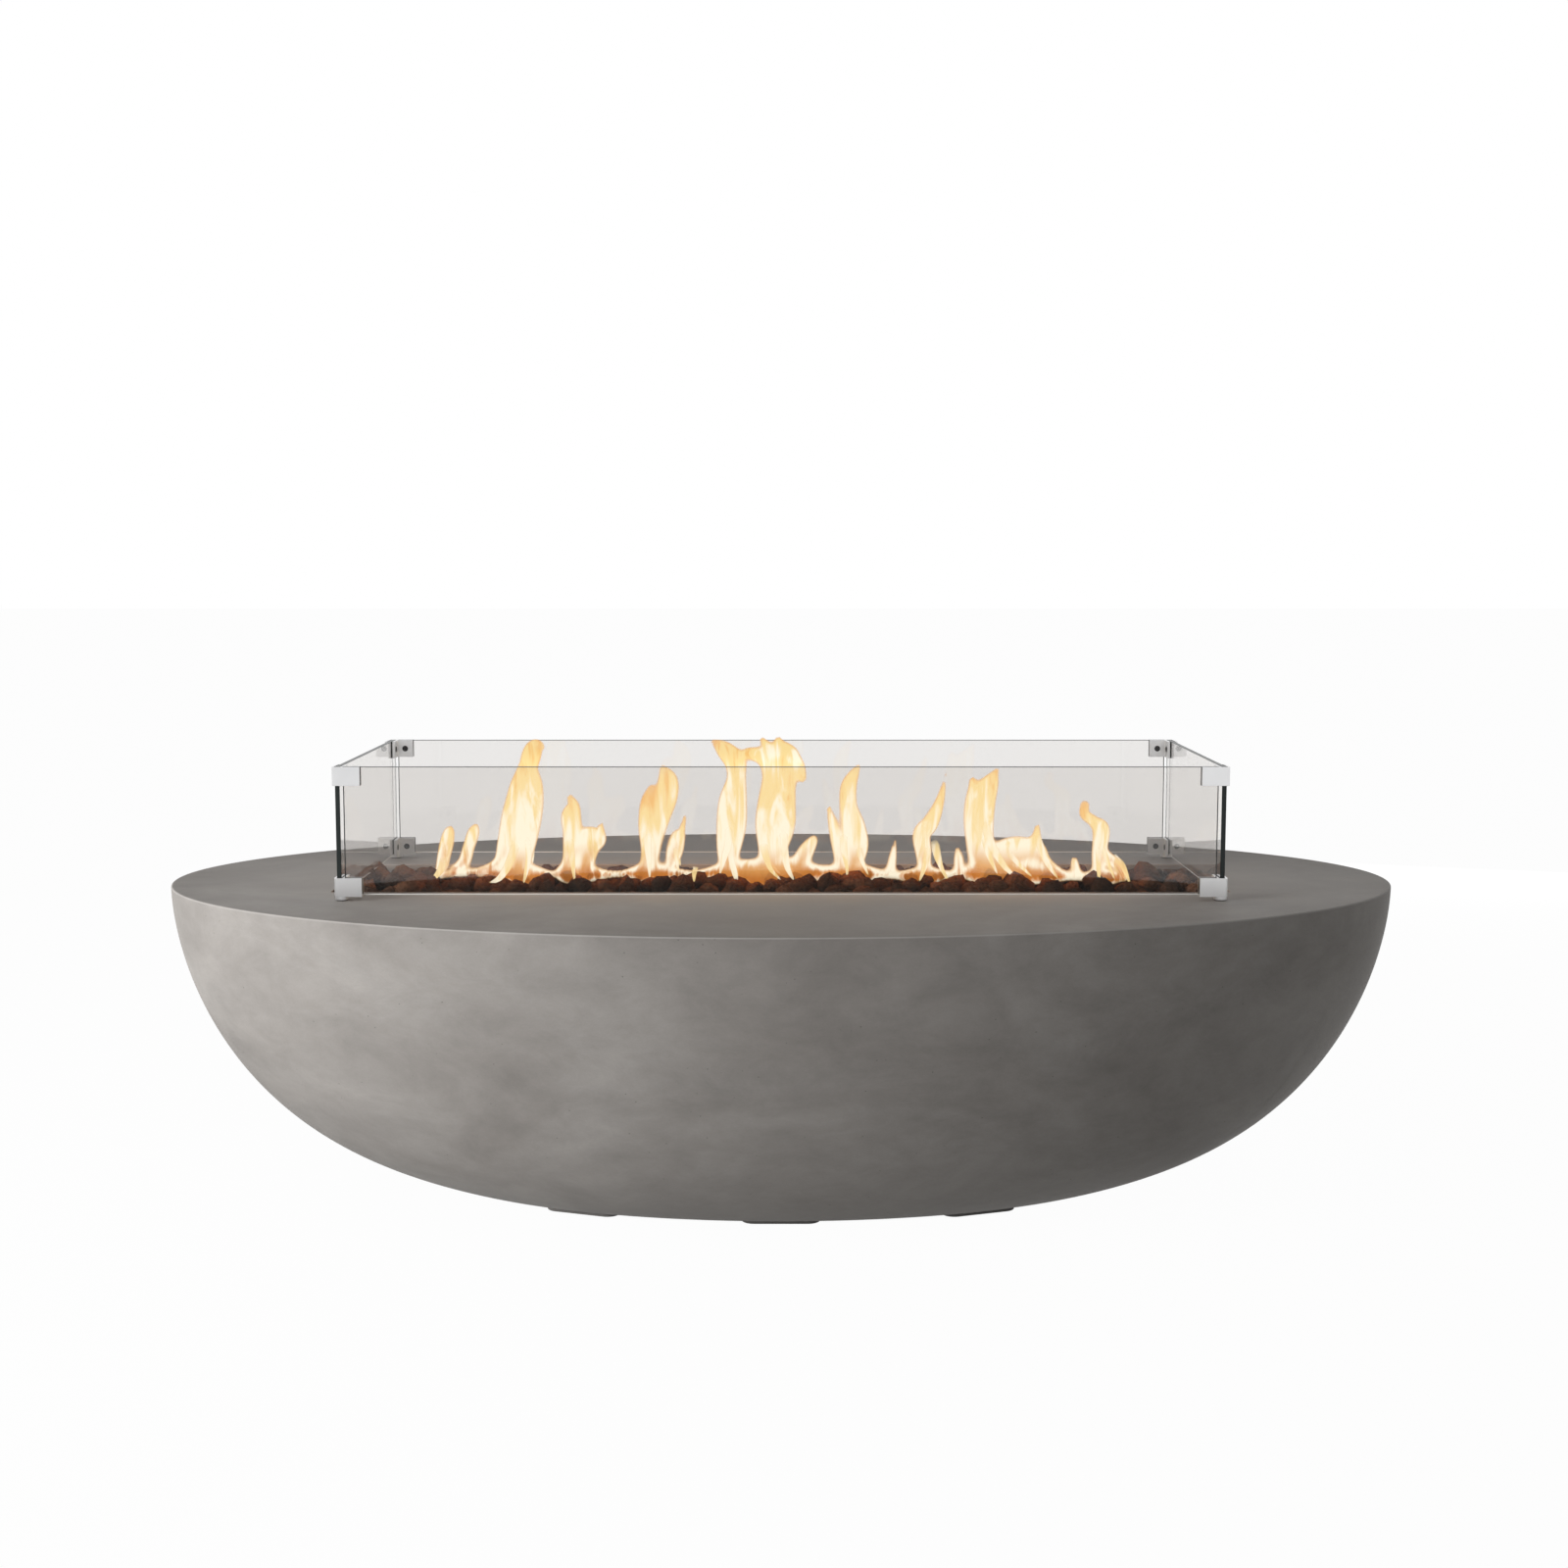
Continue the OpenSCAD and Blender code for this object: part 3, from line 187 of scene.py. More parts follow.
# grain: a soft cloud, a finer mottle and a gritty height, for every cast, rubbed or moulded surface
grainChannels = {
    "Cloud": {"Detail": 5, "Roughness": 0.55, "Distortion": 0.7},
    "Mottle": {"Detail": 5, "Roughness": 0.7, "Distortion": 0.3},
    "Grit": {"Detail": 3, "Roughness": 0.6},
}
grainSockets = {channel: "NodeSocketFloat" for channel in grainChannels}
grainGroup, into, out = startGroup("grain", {"Vector": "NodeSocketVector", **grainSockets}, grainSockets)
for channel, values in grainChannels.items():
    cloud = noiseAt(grainGroup, into.outputs["Vector"], **values)
    grainGroup.links.new(into.outputs[channel], cloud.inputs["Scale"])
    grainGroup.links.new(cloud.outputs["Fac"], out.inputs[channel])

# brushing: fine lines along one direction and broad smudges, for drawn and brushed metal
brushLook = {
    "lines": {"Scale": 3.0, "Detail": 4, "Roughness": 0.7},
    "smudge": {"Scale": 18, "Detail": 3, "Distortion": 0.8},
}
brushGroup, into, out = startGroup(
    "brushing",
    {"Vector": "NodeSocketVector", "Stretch": "NodeSocketVector"},
    {"Lines": "NodeSocketFloat", "Smudge": "NodeSocketFloat"},
)
stretched = addNode(brushGroup, "ShaderNodeVectorMath", operation="MULTIPLY")
brushGroup.links.new(into.outputs["Vector"], stretched.inputs[0])
brushGroup.links.new(into.outputs["Stretch"], stretched.inputs[1])
lines = noiseAt(brushGroup, stretched.outputs["Vector"], **brushLook["lines"])
brushGroup.links.new(lines.outputs["Fac"], out.inputs["Lines"])
smudge = noiseAt(brushGroup, into.outputs["Vector"], **brushLook["smudge"])
brushGroup.links.new(smudge.outputs["Fac"], out.inputs["Smudge"])


def startMaterial(name, **values):
    material = bpy.data.materials.new(name)
    material.use_nodes = True
    tree = material.node_tree
    shader = tree.nodes["Principled BSDF"]
    for socket, value in values.items():
        shader.inputs[socket.replace("_", " ")].default_value = value
    place = addNode(tree, "ShaderNodeTexCoord").outputs["Object"]
    return material, tree, shader, place


def setGloss(tree, shader, value, low, high):
    tree.links.new(spread(tree, value, low, high), shader.inputs["Roughness"])


def bump(tree, shader, height, strength, distance):
    node = addNode(tree, "ShaderNodeBump", Strength=strength, Distance=distance)
    tree.links.new(height, node.inputs["Height"])
    tree.links.new(node.outputs["Normal"], shader.inputs["Normal"])


# a cast, moulded or sleeved finish: two tones clouded together, and a gritty bump
grainedLook = {"tones": (0.6, 1.4), "glossBy": 0.08, "bump": 0.35}


def grainedFinish(name, dark, light, roughness, scales, bumpDepth, **values):
    look = grainedLook
    material, tree, shader, place = startMaterial(name, **values)
    grain = useGroup(tree, grainGroup, place, **scales)
    both = combine(tree, "ADD", grain.outputs["Mottle"], grain.outputs["Cloud"])
    tone = blendColours(tree, remap(tree, both, *look["tones"]), dark, light)
    tree.links.new(tone, shader.inputs["Base Color"])
    setGloss(tree, shader, grain.outputs["Mottle"], roughness - look["glossBy"], roughness + look["glossBy"])
    bump(tree, shader, grain.outputs["Grit"], look["bump"], bumpDepth)
    return material


# a drawn or polished metal: brushing in the gloss, smudges in the tone
metalLook = {"smudge": 0.86, "bump": 0.25}


def metalFinish(name, colour, roughness, stretch, glossBy, bumpDepth=0.0):
    material, tree, shader, place = startMaterial(name, Metallic=1.0)
    brushing = useGroup(tree, brushGroup, place, Stretch=stretch)
    darker = tuple(c * metalLook["smudge"] for c in colour)
    tone = blendColours(tree, brushing.outputs["Smudge"], darker, colour)
    tree.links.new(tone, shader.inputs["Base Color"])
    setGloss(tree, shader, brushing.outputs["Lines"], roughness - glossBy, roughness + glossBy)
    if bumpDepth:
        bump(tree, shader, brushing.outputs["Lines"], metalLook["bump"], bumpDepth)
    return material


# trowelled concrete: broad slanting clouds, a soft mottle, fine grit, a scatter of pinholes with painted
# shade in them, and a painted highlight along the rim and the opening's lip
concreteLook = {
    # the third tone is the paler tone of the painted highlight on the rim and the opening's lip
    "dark": (0.212, 0.197, 0.183), "light": (0.308, 0.291, 0.274), "paintedHighlightTone": (0.42, 0.40, 0.38),
    "specular": 0.15, "roughness": (0.52, 0.72), "bump": (0.3, 0.0006), "gritHeight": 0.35,
    "sweep": {"Scale": (0.85, 0.95, 1.45), "Rotation": (0.0, 0.12, 0.0), "Location": (0.7, 0.2, 0.1)},
    "scales": {"Cloud": 3.4, "Mottle": 13.0, "Grit": 420.0},
    "clouds": (0.3, 0.7), "mottle": (0.70, 1.30), "grit": (0.93, 1.07), "wear": (0.0, 0.45),
    "pinholes": 95.0, "pinholeRim": (0.055, 0.10), "pinholeShade": (0.62, 1.0), "cellsWithout": 0.72,
}


def concreteFinish():
    look = concreteLook
    material, tree, shader, place = startMaterial("trowelledConcrete", Specular_IOR_Level=look["specular"])
    grain = useGroup(tree, grainGroup, sweepPlace(tree, place, **look["sweep"]), **look["scales"])
    clouds = remap(tree, grain.outputs["Cloud"], *look["clouds"])
    body = blendColours(tree, clouds, look["dark"], look["light"])
    mottled = dim(tree, body, spread(tree, grain.outputs["Mottle"], *look["mottle"]))
    gritted = dim(tree, mottled, spread(tree, grain.outputs["Grit"], *look["grit"]))
    cells = addNode(tree, "ShaderNodeTexVoronoi", Scale=look["pinholes"])
    tree.links.new(place, cells.inputs["Vector"])
    outsideHole = remap(tree, cells.outputs["Distance"], *look["pinholeRim"])
    noHole = combine(tree, "LESS_THAN", cells.outputs["Color"], look["cellsWithout"])
    surface = combine(tree, "MAXIMUM", outsideHole, noHole)
    # painted shade: darker inside the pinholes
    pinholeShaded = dim(tree, gritted, spread(tree, surface, *look["pinholeShade"]))
    # painted highlight: paler along the rim and the opening's lip
    paintedHighlight = spread(tree, layerValue(tree, "paintedEdgeHighlight"), *look["wear"])
    tree.links.new(blendColours(tree, paintedHighlight, pinholeShaded, look["paintedHighlightTone"]), shader.inputs["Base Color"])
    setGloss(tree, shader, grain.outputs["Mottle"], *look["roughness"])
    grit = combine(tree, "MULTIPLY", grain.outputs["Grit"], look["gritHeight"])
    bump(tree, shader, combine(tree, "ADD", grit, surface), *look["bump"])
    return material


# lava rock: charcoal to rusty brown, a tint of its own for each stone, pits all over; painted shade in the
# pits, low down in the pile and in the gaps below each stone's paler crown
lavaLook = {
    "charcoal": (0.033, 0.0225, 0.0175), "brown": (0.158, 0.078, 0.044), "scorch": (0.54, 0.45, 0.39),
    "scales": {"Cloud": 24.0, "Mottle": 90.0, "Grit": 420.0}, "cloudShare": 0.6, "tintShare": 0.75,
    # the last two ranges on the next line are painted shade: darker in the pits, and from each stone's gaps
    # to its crown
    "browning": (0.28, 0.95), "pits": 260.0, "pitShade": (0.45, 1.35), "paintedShadeGapToCrown": (0.25, 1.55),
    # the first two entries on the next line are painted shade, darker low down in the pile
    "paintedShadeBelow": (0.386, 0.408), "soot": 0.40, "fireWithin": (0.46, 0.56),
    "roughness": (0.72, 0.95), "bump": (0.9, 0.0022),
}


def lavaFinish():
    look = lavaLook
    material, tree, shader, place = startMaterial("lavaStone", Specular_IOR_Level=0.0)
    grain = useGroup(tree, grainGroup, place, **look["scales"])
    ownShare = combine(tree, "MULTIPLY", layerValue(tree, "stoneTint"), look["tintShare"])
    cloudShare = combine(tree, "MULTIPLY", grain.outputs["Cloud"], look["cloudShare"])
    browning = remap(tree, combine(tree, "ADD", cloudShare, ownShare), *look["browning"])
    body = blendColours(tree, browning, look["charcoal"], look["brown"])
    pits = addNode(tree, "ShaderNodeTexVoronoi", Scale=look["pits"])
    tree.links.new(place, pits.inputs["Vector"])
    # painted shade: darker in the pits, paler between them
    pitShaded = dim(tree, body, spread(tree, pits.outputs["Distance"], *look["pitShade"]))
    # painted shade: darker low down in the pile, by height
    low = remap(tree, axisPart(tree, place, "Z"), *look["paintedShadeBelow"], look["soot"], 1.0, smooth=True)
    # painted shade: each stone darker on its underside and in the gaps, paler on its crown
    lit = spread(tree, layerValue(tree, "stonePaintedShade"), *look["paintedShadeGapToCrown"])
    shadePainted = dim(tree, pitShaded, combine(tree, "MULTIPLY", low, lit))
    scorched = addNode(tree, "ShaderNodeVectorMath", operation="MULTIPLY")
    scorched.inputs[1].default_value = look["scorch"]
    tree.links.new(shadePainted, scorched.inputs[0])
    fromMiddle = combine(tree, "ABSOLUTE", axisPart(tree, place, "X"), 0.0)
    beyondFire = remap(tree, fromMiddle, *look["fireWithin"], smooth=True)
    tone = blendColours(tree, beyondFire, scorched.outputs[0], shadePainted)
    tree.links.new(tone, shader.inputs["Base Color"])
    setGloss(tree, shader, grain.outputs["Mottle"], *look["roughness"])
    height = combine(tree, "ADD", pits.outputs["Distance"], grain.outputs["Mottle"])
    bump(tree, shader, height, *look["bump"])
    return material


# clear glass: a faint warm tint, and plain shadows so that the light reaches the stones
glassLook = {
    "tint": (0.835, 0.82, 0.805), "clean": (0.86, 0.845, 0.83), "shadow": (0.93, 0.93, 0.925),
    "film": {"Scale": 3.0, "Detail": 3, "Distortion": 0.6},
}


def glassFinish():
    look = glassLook
    material, tree, shader, place = startMaterial(
        "clearGlass", Transmission_Weight=1.0, Roughness=0.0, IOR=1.45, Specular_IOR_Level=0.05)
    film = noiseAt(tree, place, **look["film"])
    tint = blendColours(tree, film.outputs["Fac"], look["tint"], look["clean"])
    tree.links.new(tint, shader.inputs["Base Color"])
    shadowRay = addNode(tree, "ShaderNodeLightPath").outputs["Is Shadow Ray"]
    passing = addNode(tree, "ShaderNodeBsdfTransparent", Color=(*look["shadow"], 1))
    mixShaders(tree, shadowRay, shader.outputs["BSDF"], passing.outputs["BSDF"], "Material Output")
    return material


# flame: glows by itself; colour and thinness follow a point's height and its depth below the flame's outline
flameLook = {
    "white": (1.0, 0.91, 0.70), "yellow": (0.94, 0.71, 0.32), "orange": (0.88, 0.47, 0.13),
    "ember": (0.84, 0.42, 0.125), "edge": (0.80, 0.42, 0.15), "foot": (0.72, 0.235, 0.035),
    "strength": 1.22, "dimAbove": (0.545, 0.585), "dimTo": 0.836,
    "sweep": {"Scale": (62.0, 30.0, 11.0), "Rotation": (0.0, 0.12, 0.0)},
    "streaks": {"Scale": 1.0, "Detail": 3, "Roughness": 0.5, "Distortion": 1.3},
    "wave": 0.9, "whiteRise": 0.45, "riseShare": 0.42, "yellowing": (0.36, 0.58), "reddening": (0.62, 0.86),
    "emberDepth": (0.15, 0.60), "emberNear": (0.05, 0.60), "emberThin": 0.35,
    "footDepth": (0.16, 0.46), "footNear": (0.50, 0.86), "footThin": 0.3,
    "rimDepth": (0.02, 0.20), "softDepth": (0.0, 0.16),
    "tipRise": (0.70, 1.05), "tipAlpha": 0.62, "streakThin": (0.45, 0.75), "streakAlpha": 0.82,
}


def flameFinish():
    look = flameLook
    material, tree, shader, place = startMaterial(
        "flameGlow", Base_Color=(0, 0, 0, 1), Specular_IOR_Level=0.0, Roughness=1.0,
        Emission_Strength=look["strength"])
    depth, rise, fade, near = (
        layerValue(tree, name) for name in ("flameDepth", "flameRise", "flameFade", "flameNear"))
    streak = noiseAt(tree, sweepPlace(tree, place, **look["sweep"]), **look["streaks"]).outputs["Fac"]

    def step(value, limits, low=0.0, high=1.0):
        return remap(tree, value, *limits, low, high, smooth=True)

    def join(operation, first, second):
        return combine(tree, operation, first, second)

    def lessBy(share, part):
        return join("SUBTRACT", 1.0, join("MULTIPLY", share, part))

    wavyDepth = join("ADD", depth, join("MULTIPLY", join("SUBTRACT", streak, 0.5), look["wave"]))
    higher = join("MULTIPLY", join("SUBTRACT", rise, look["whiteRise"]), look["riseShare"])
    warmth = join("ADD", streak, higher)  # whiter low down
    upper = blendColours(tree, step(warmth, look["yellowing"]), look["white"], look["yellow"])
    upper = blendColours(tree, step(warmth, look["reddening"]), upper, look["orange"])
    emberShare = join("MULTIPLY", step(wavyDepth, look["emberDepth"]), step(near, look["emberNear"]))
    body = blendColours(tree, emberShare, upper, look["ember"])
    footShare = join("MULTIPLY", step(near, look["footNear"]), step(wavyDepth, look["footDepth"]))
    body = blendColours(tree, footShare, body, look["foot"])
    rim = step(depth, look["rimDepth"], 1.0, 0.0)
    fainter = step(axisPart(tree, place, "Z"), look["dimAbove"], 1.0, look["dimTo"])
    colour = dim(tree, blendColours(tree, rim, body, look["edge"]), fainter)
    tree.links.new(colour, shader.inputs["Emission Color"])
    alpha = step(depth, look["softDepth"])
    for part in (
        lessBy(emberShare, look["emberThin"]),
        step(rise, look["tipRise"], 1.0, look["tipAlpha"]),
        step(streak, look["streakThin"], 1.0, look["streakAlpha"]),
        lessBy(footShare, look["footThin"]),
        fade,
    ):
        alpha = join("MULTIPLY", alpha, part)
    tree.links.new(alpha, shader.inputs["Alpha"])
    return material


rubberScales = {"Cloud": 14, "Mottle": 60, "Grit": 700}
mouldedScales = {"Cloud": 20, "Mottle": 90, "Grit": 900}
groundScales = {"Cloud": 8, "Mottle": 40, "Grit": 300}
alongX = (4.0, 260.0, 260.0)
evenly = (60.0, 60.0, 60.0)
finishes = {
    "concrete": concreteFinish(),
    "foot_rubber": grainedFinish(
        "blackRubber", (0.022, 0.022, 0.022), (0.040, 0.039, 0.038), 0.75, rubberScales, 0.0004),
    "foot_grey": grainedFinish(
        "greyRubber", (0.15, 0.142, 0.134), (0.21, 0.20, 0.19), 0.75, rubberScales, 0.0004),
    "black_plastic": grainedFinish(
        "blackMouldedPlastic", (0.014, 0.014, 0.015), (0.026, 0.026, 0.027), 0.45, mouldedScales, 0.0003),
    "red_plastic": grainedFinish(
        "redMouldedPlastic", (0.36, 0.022, 0.016), (0.46, 0.035, 0.024), 0.3, mouldedScales, 0.0002),
    "insulator": grainedFinish(
        "whitePorcelain", (0.72, 0.69, 0.62), (0.80, 0.77, 0.70), 0.2, mouldedScales, 0.0001,
        Coat_Weight=0.4),
    "lead_sleeve": grainedFinish(
        "redSleeving", (0.17, 0.026, 0.018), (0.24, 0.038, 0.026), 0.55, mouldedScales, 0.0003),
    # painted dark: the edge faces stand in for the dark that the glass edge shows by refraction and
    # reflection
    "glass_edge": grainedFinish(
        "paintedDarkGlassEdge", (0.006, 0.009, 0.009), (0.014, 0.019, 0.018), 0.3, groundScales, 0.00005,
        Specular_IOR_Level=0.25),
    # painted highlight along the panes' lower edges
    "glass_foot": grainedFinish(
        "paintedGlassEdgeHighlight", (0.66, 0.67, 0.66), (0.78, 0.79, 0.78), 0.4, groundScales, 0.00005),
    "zinc_steel": metalFinish("zincSteel", (0.58, 0.59, 0.60), 0.38, evenly, 0.08, 0.0001),
    "stainless": metalFinish("brushedStainless", (0.60, 0.585, 0.565), 0.34, alongX, 0.1, 0.0001),
    "panel_steel": metalFinish("brushedPanel", (0.63, 0.63, 0.625), 0.30, alongX, 0.09, 0.0001),
    "brass": metalFinish("machinedBrass", (0.64, 0.47, 0.21), 0.27, evenly, 0.08, 0.0001),
    "copper": metalFinish("softCopper", (0.66, 0.33, 0.20), 0.33, evenly, 0.09, 0.0001),
    "polished_steel": metalFinish("polishedSteel", (0.83, 0.83, 0.835), 0.41, alongX, 0.07),
    "black_steel": metalFinish("blackenedSteel", (0.06, 0.06, 0.062), 0.36, evenly, 0.08),
    "lava": lavaFinish(),
    "clear_glass": glassFinish(),
    "flame": flameFinish(),
}
slotOf = {part["node"]: part["material_slot"] for part in frame["record"]["subparts"]}
for name, slot in slotOf.items():
    nodes[name].data.materials.clear()
    nodes[name].data.materials.append(finishes[slot])
print("finishes made:", len(finishes))


# piece helpers
def meshObject(name, bm):
    mesh = bpy.data.meshes.new(name)
    bm.to_mesh(mesh)
    bm.free()
    made = bpy.data.objects.new(name, mesh)
    scene.collection.objects.link(made)
    return made


def keepPiece(name, bm, slots, body, sharp, replaced=()):
    piece = meshObject(name, bm)
    mesh = piece.data
    for polygon in mesh.polygons:
        polygon.use_smooth = True
    mesh.set_sharp_from_angle(angle=math.radians(sharp))
    for slot in slots:
        mesh.materials.append(finishes[slot])
    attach(piece, body)
    if replaced:
        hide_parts(*replaced)
    return piece


def evenNormals(piece):
    even = piece.modifiers.new("evenNormals", "WEIGHTED_NORMAL")
    even.keep_sharp = True


def camelName(node):
    first, *others = node.split("_")
    return first + "".join(word.capitalize() for word in others)


sameSpot = 1e-6


def meltPoints(bm):
    bmesh.ops.remove_doubles(bm, verts=bm.verts, dist=sameSpot)


def meshCopy(node):
    bm = bmesh.new()
    bm.from_mesh(nodes[node].data)
    meltPoints(bm)
    return bm


def blockBetween(bm, low, high):
    made = bmesh.ops.create_cube(bm, size=1.0)["verts"]
    size = [b - a for a, b in zip(low, high)]
    bmesh.ops.scale(bm, vec=size, verts=made)
    bmesh.ops.translate(bm, vec=[(a + b) / 2 for a, b in zip(low, high)], verts=made)


def roundOff(bm, edges, radius, segments, clamp=False):
    bmesh.ops.bevel(
        bm, geom=edges, offset=radius, offset_type="OFFSET", affect="EDGES", segments=segments, profile=0.5,
        material=-1, clamp_overlap=clamp)


def smoothPath(points, count):
    def at(t):
        i = min(int(t), len(points) - 2)
        before, start, end, after = (
            Vector(points[max(0, min(len(points) - 1, k))]) for k in range(i - 1, i + 3))
        s = t - i
        slope = (end - before) * s
        bend = (2 * before - 5 * start + 4 * end - after) * s ** 2
        twist = (3 * start - before - 3 * end + after) * s ** 3
        return 0.5 * (2 * start + slope + bend + twist)
    return [at(k / count * (len(points) - 1)) for k in range(count + 1)]


# control panel's place on the rear wall: its middle, and how far the wall leans out there
panelFrame = {"y": 0.42461, "z": 0.23291, "tilt": math.radians(15.816)}
panelOut = Vector((0, math.cos(panelFrame["tilt"]), -math.sin(panelFrame["tilt"])))
panelUp = Vector((0, math.sin(panelFrame["tilt"]), math.cos(panelFrame["tilt"])))
panelMiddle = Vector((0, panelFrame["y"], panelFrame["z"]))


def atPanel(across, up, out):
    return panelMiddle + Vector((across, 0, 0)) + panelUp * up + panelOut * out


# cords: the burner hose and the pilot's two leads, hanging inside the base on their solids' routes
cordForms = {
    "burnerHose": {
        "node": "burner_hose", "slot": "stainless", "diameter": 0.014, "stiffness": "medium",
        "start": Vector((0, 0.030, 0.230)), "leaving": Vector((0, 0.020, 0)), "sag": 0.018,
        "end": atPanel(0, 0, -0.058), "arriving": panelOut * -0.020},
    "ignitionLead": {
        "node": "ignition_lead", "slot": "lead_sleeve", "diameter": 0.006, "stiffness": "medium",
        "start": Vector((0.060, 0.02065, 0.3305)), "leaving": Vector((0, 0, -0.015)), "sag": 0.016,
        "end": atPanel(0.058, 0, -0.070), "arriving": panelOut * -0.015},
    "sensorLead": {
        "node": "sensor_lead", "slot": "copper", "diameter": 0.004, "stiffness": "stiff",
        "start": Vector((0.080, 0.02065, 0.3305)), "leaving": Vector((0, 0, -0.015)), "sag": -0.006,
        "end": atPanel(0, 0.024, -0.034), "arriving": panelUp * 0.015},
}
cordPath = {"bends": 6, "steps": 54, "roundness": 4}


def makeCord(name, form):
    low, high = form["start"] + form["leaving"], form["end"] + form["arriving"]
    shares = [i / (cordPath["bends"] + 1) for i in range(1, cordPath["bends"] + 1)]
    hung = [low.lerp(high, t) - Vector((0, 0, form["sag"] * math.sin(math.pi * t))) for t in shares]
    path = smoothPath([form["start"], low, *hung, high, form["end"]], cordPath["steps"])
    curve = bpy.data.curves.new(name, "CURVE")
    curve.dimensions = "3D"
    curve.bevel_depth = form["diameter"] / 2
    curve.bevel_resolution = cordPath["roundness"]
    line = curve.splines.new("POLY")
    line.points.add(len(path) - 1)
    for point, spot in zip(line.points, path):
        point.co = (*spot, 1)
    line.use_smooth = True
    piece = bpy.data.objects.new(name, curve)
    scene.collection.objects.link(piece)
    curve.materials.append(finishes[form["slot"]])
    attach(piece, "table")
    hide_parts(form["node"])


for name, form in cordForms.items():
    makeCord(name, form)
print("cords hung:", len(cordForms))


# bowl: the cast oval, spun from its side curve, squeezed to an oval and cut out
bowlForm = {
    "halfLength": 0.825, "halfWidth": 0.457, "height": 0.406, "foot": 0.010, "footEdge": 0.004,
    "wall": 0.026, "top": 0.050, "base": 0.030, "rim": 0.0022, "rimAngles": (0, 22.5, 45, 67.5), "rimSeat": 3,
    "overrun": 0.033, "turnIn": 1.77, "turnUnder": 3.96, "around": 256, "levels": 48, "crowding": 1.6,
    "opening": (1.180, 0.251), "seatDepth": 0.030, "seatWidth": 0.014, "openingEdge": 0.0012,
    "access": (0.620, 0.240), "accessCorner": 0.050,
    "panel": (0.190, 0.084), "panelCorner": 0.006, "panelGap": 0.001, "panelSeat": 0.016,
    # next line: the lip's bevel angle, and how far the painted highlight reaches on the lip and down the rim
    "lipTurn": math.radians(60), "lipWithin": 0.9, "rimHighlightShare": 0.9,
}
# how far the cutters run: over the top, past a floor, below the tabletop, out of the pocket, through the wall
cutReach = {
    "over": 0.05, "past": 0.02, "under": 0.01, "pocket": 0.06, "window": (-0.075, 0.002), "corners": 8,
}


def ovalShare(depth):
    closing = bowlForm["height"] - bowlForm["foot"] + bowlForm["overrun"]
    return (1 - (depth / closing) ** bowlForm["turnIn"]) ** (1 / bowlForm["turnUnder"])


def sideCurve(first, last, inset):
    steps = bowlForm["levels"]
    shares = [1 - (1 - i / steps) ** bowlForm["crowding"] for i in range(steps + 1)]
    depths = [first + (last - first) * share for share in shares]
    return [(bowlForm["halfLength"] * ovalShare(d) - inset, bowlForm["height"] - d) for d in depths]


def spunOval(name, profile, squeeze):
    bm = bmesh.new()
    chain = [bm.verts.new((x, 0, z)) for x, z in profile]
    edges = [bm.edges.new(pair) for pair in zip(chain, chain[1:])]
    bmesh.ops.spin(
        bm, geom=chain + edges, cent=(0, 0, 0), axis=(0, 0, 1), angle=2 * math.pi, steps=bowlForm["around"],
        use_merge=True)
    meltPoints(bm)
    bmesh.ops.scale(bm, vec=(1, squeeze, 1), verts=bm.verts)
    bmesh.ops.recalc_face_normals(bm, faces=bm.faces)
    return meshObject(name, bm)


def cutBlock(name, size, low, high, corner=0.0, place=Matrix.Identity(4)):
    bm = bmesh.new()
    blockBetween(bm, (-size[0] / 2, -size[1] / 2, low), (size[0] / 2, size[1] / 2, high))
    if corner:
        upright = [e for e in bm.edges if abs(e.verts[0].co.z - e.verts[1].co.z) > sameSpot]
        roundOff(bm, upright, corner, cutReach["corners"])
    bmesh.ops.transform(bm, matrix=place, verts=bm.verts)
    return meshObject(name, bm)


def bowlBlank():
    form = bowlForm
    top = form["height"]
    outside = [(0, top), (form["halfLength"] - form["rimSeat"] * form["rim"], top)]
    for turn in map(math.radians, form["rimAngles"]):
        inward, down = form["rim"] * (1 - math.sin(turn)), form["rim"] * (1 - math.cos(turn))
        outside.append((form["halfLength"] - inward, top - down))
    outside += sideCurve(form["rim"], top - form["foot"], 0.0)
    outside += [(outside[-1][0] - form["footEdge"], form["foot"]), (0, form["foot"])]
    return spunOval("bowlBlank", outside, form["halfWidth"] / form["halfLength"])


def bowlCutters():
    form, reach = bowlForm, cutReach
    top, ceiling, ledge = form["height"], form["height"] - form["top"], form["height"] - form["seatDepth"]
    floor = form["foot"] + form["base"]
    inside = [(0, ceiling)] + sideCurve(form["top"], top - floor, form["wall"]) + [(0, floor)]
    squeeze = (form["halfWidth"] - form["wall"]) / (form["halfLength"] - form["wall"])
    gap = form["panelGap"]
    panCut = [side - 2 * form["seatWidth"] for side in form["opening"]]
    pocket = [side + 2 * gap for side in form["panel"]]
    window = [side - 2 * form["panelSeat"] for side in form["panel"]]
    # local Z points out of the rear wall
    panelPlace = Matrix.Translation(panelMiddle) @ Matrix.Rotation(-math.pi / 2 - panelFrame["tilt"], 4, "X")
    return [
        spunOval("hollow", inside, squeeze),
        cutBlock("openingCut", form["opening"], ledge, top + reach["over"]),
        cutBlock("panCut", panCut, ceiling - reach["past"], top - reach["under"]),
        cutBlock("accessCut", form["access"], -reach["past"], floor + reach["past"], form["accessCorner"]),
        cutBlock("pocketCut", pocket, 0.0, reach["pocket"], form["panelCorner"] + gap, panelPlace),
        cutBlock("windowCut", window, *reach["window"], place=panelPlace),
    ]


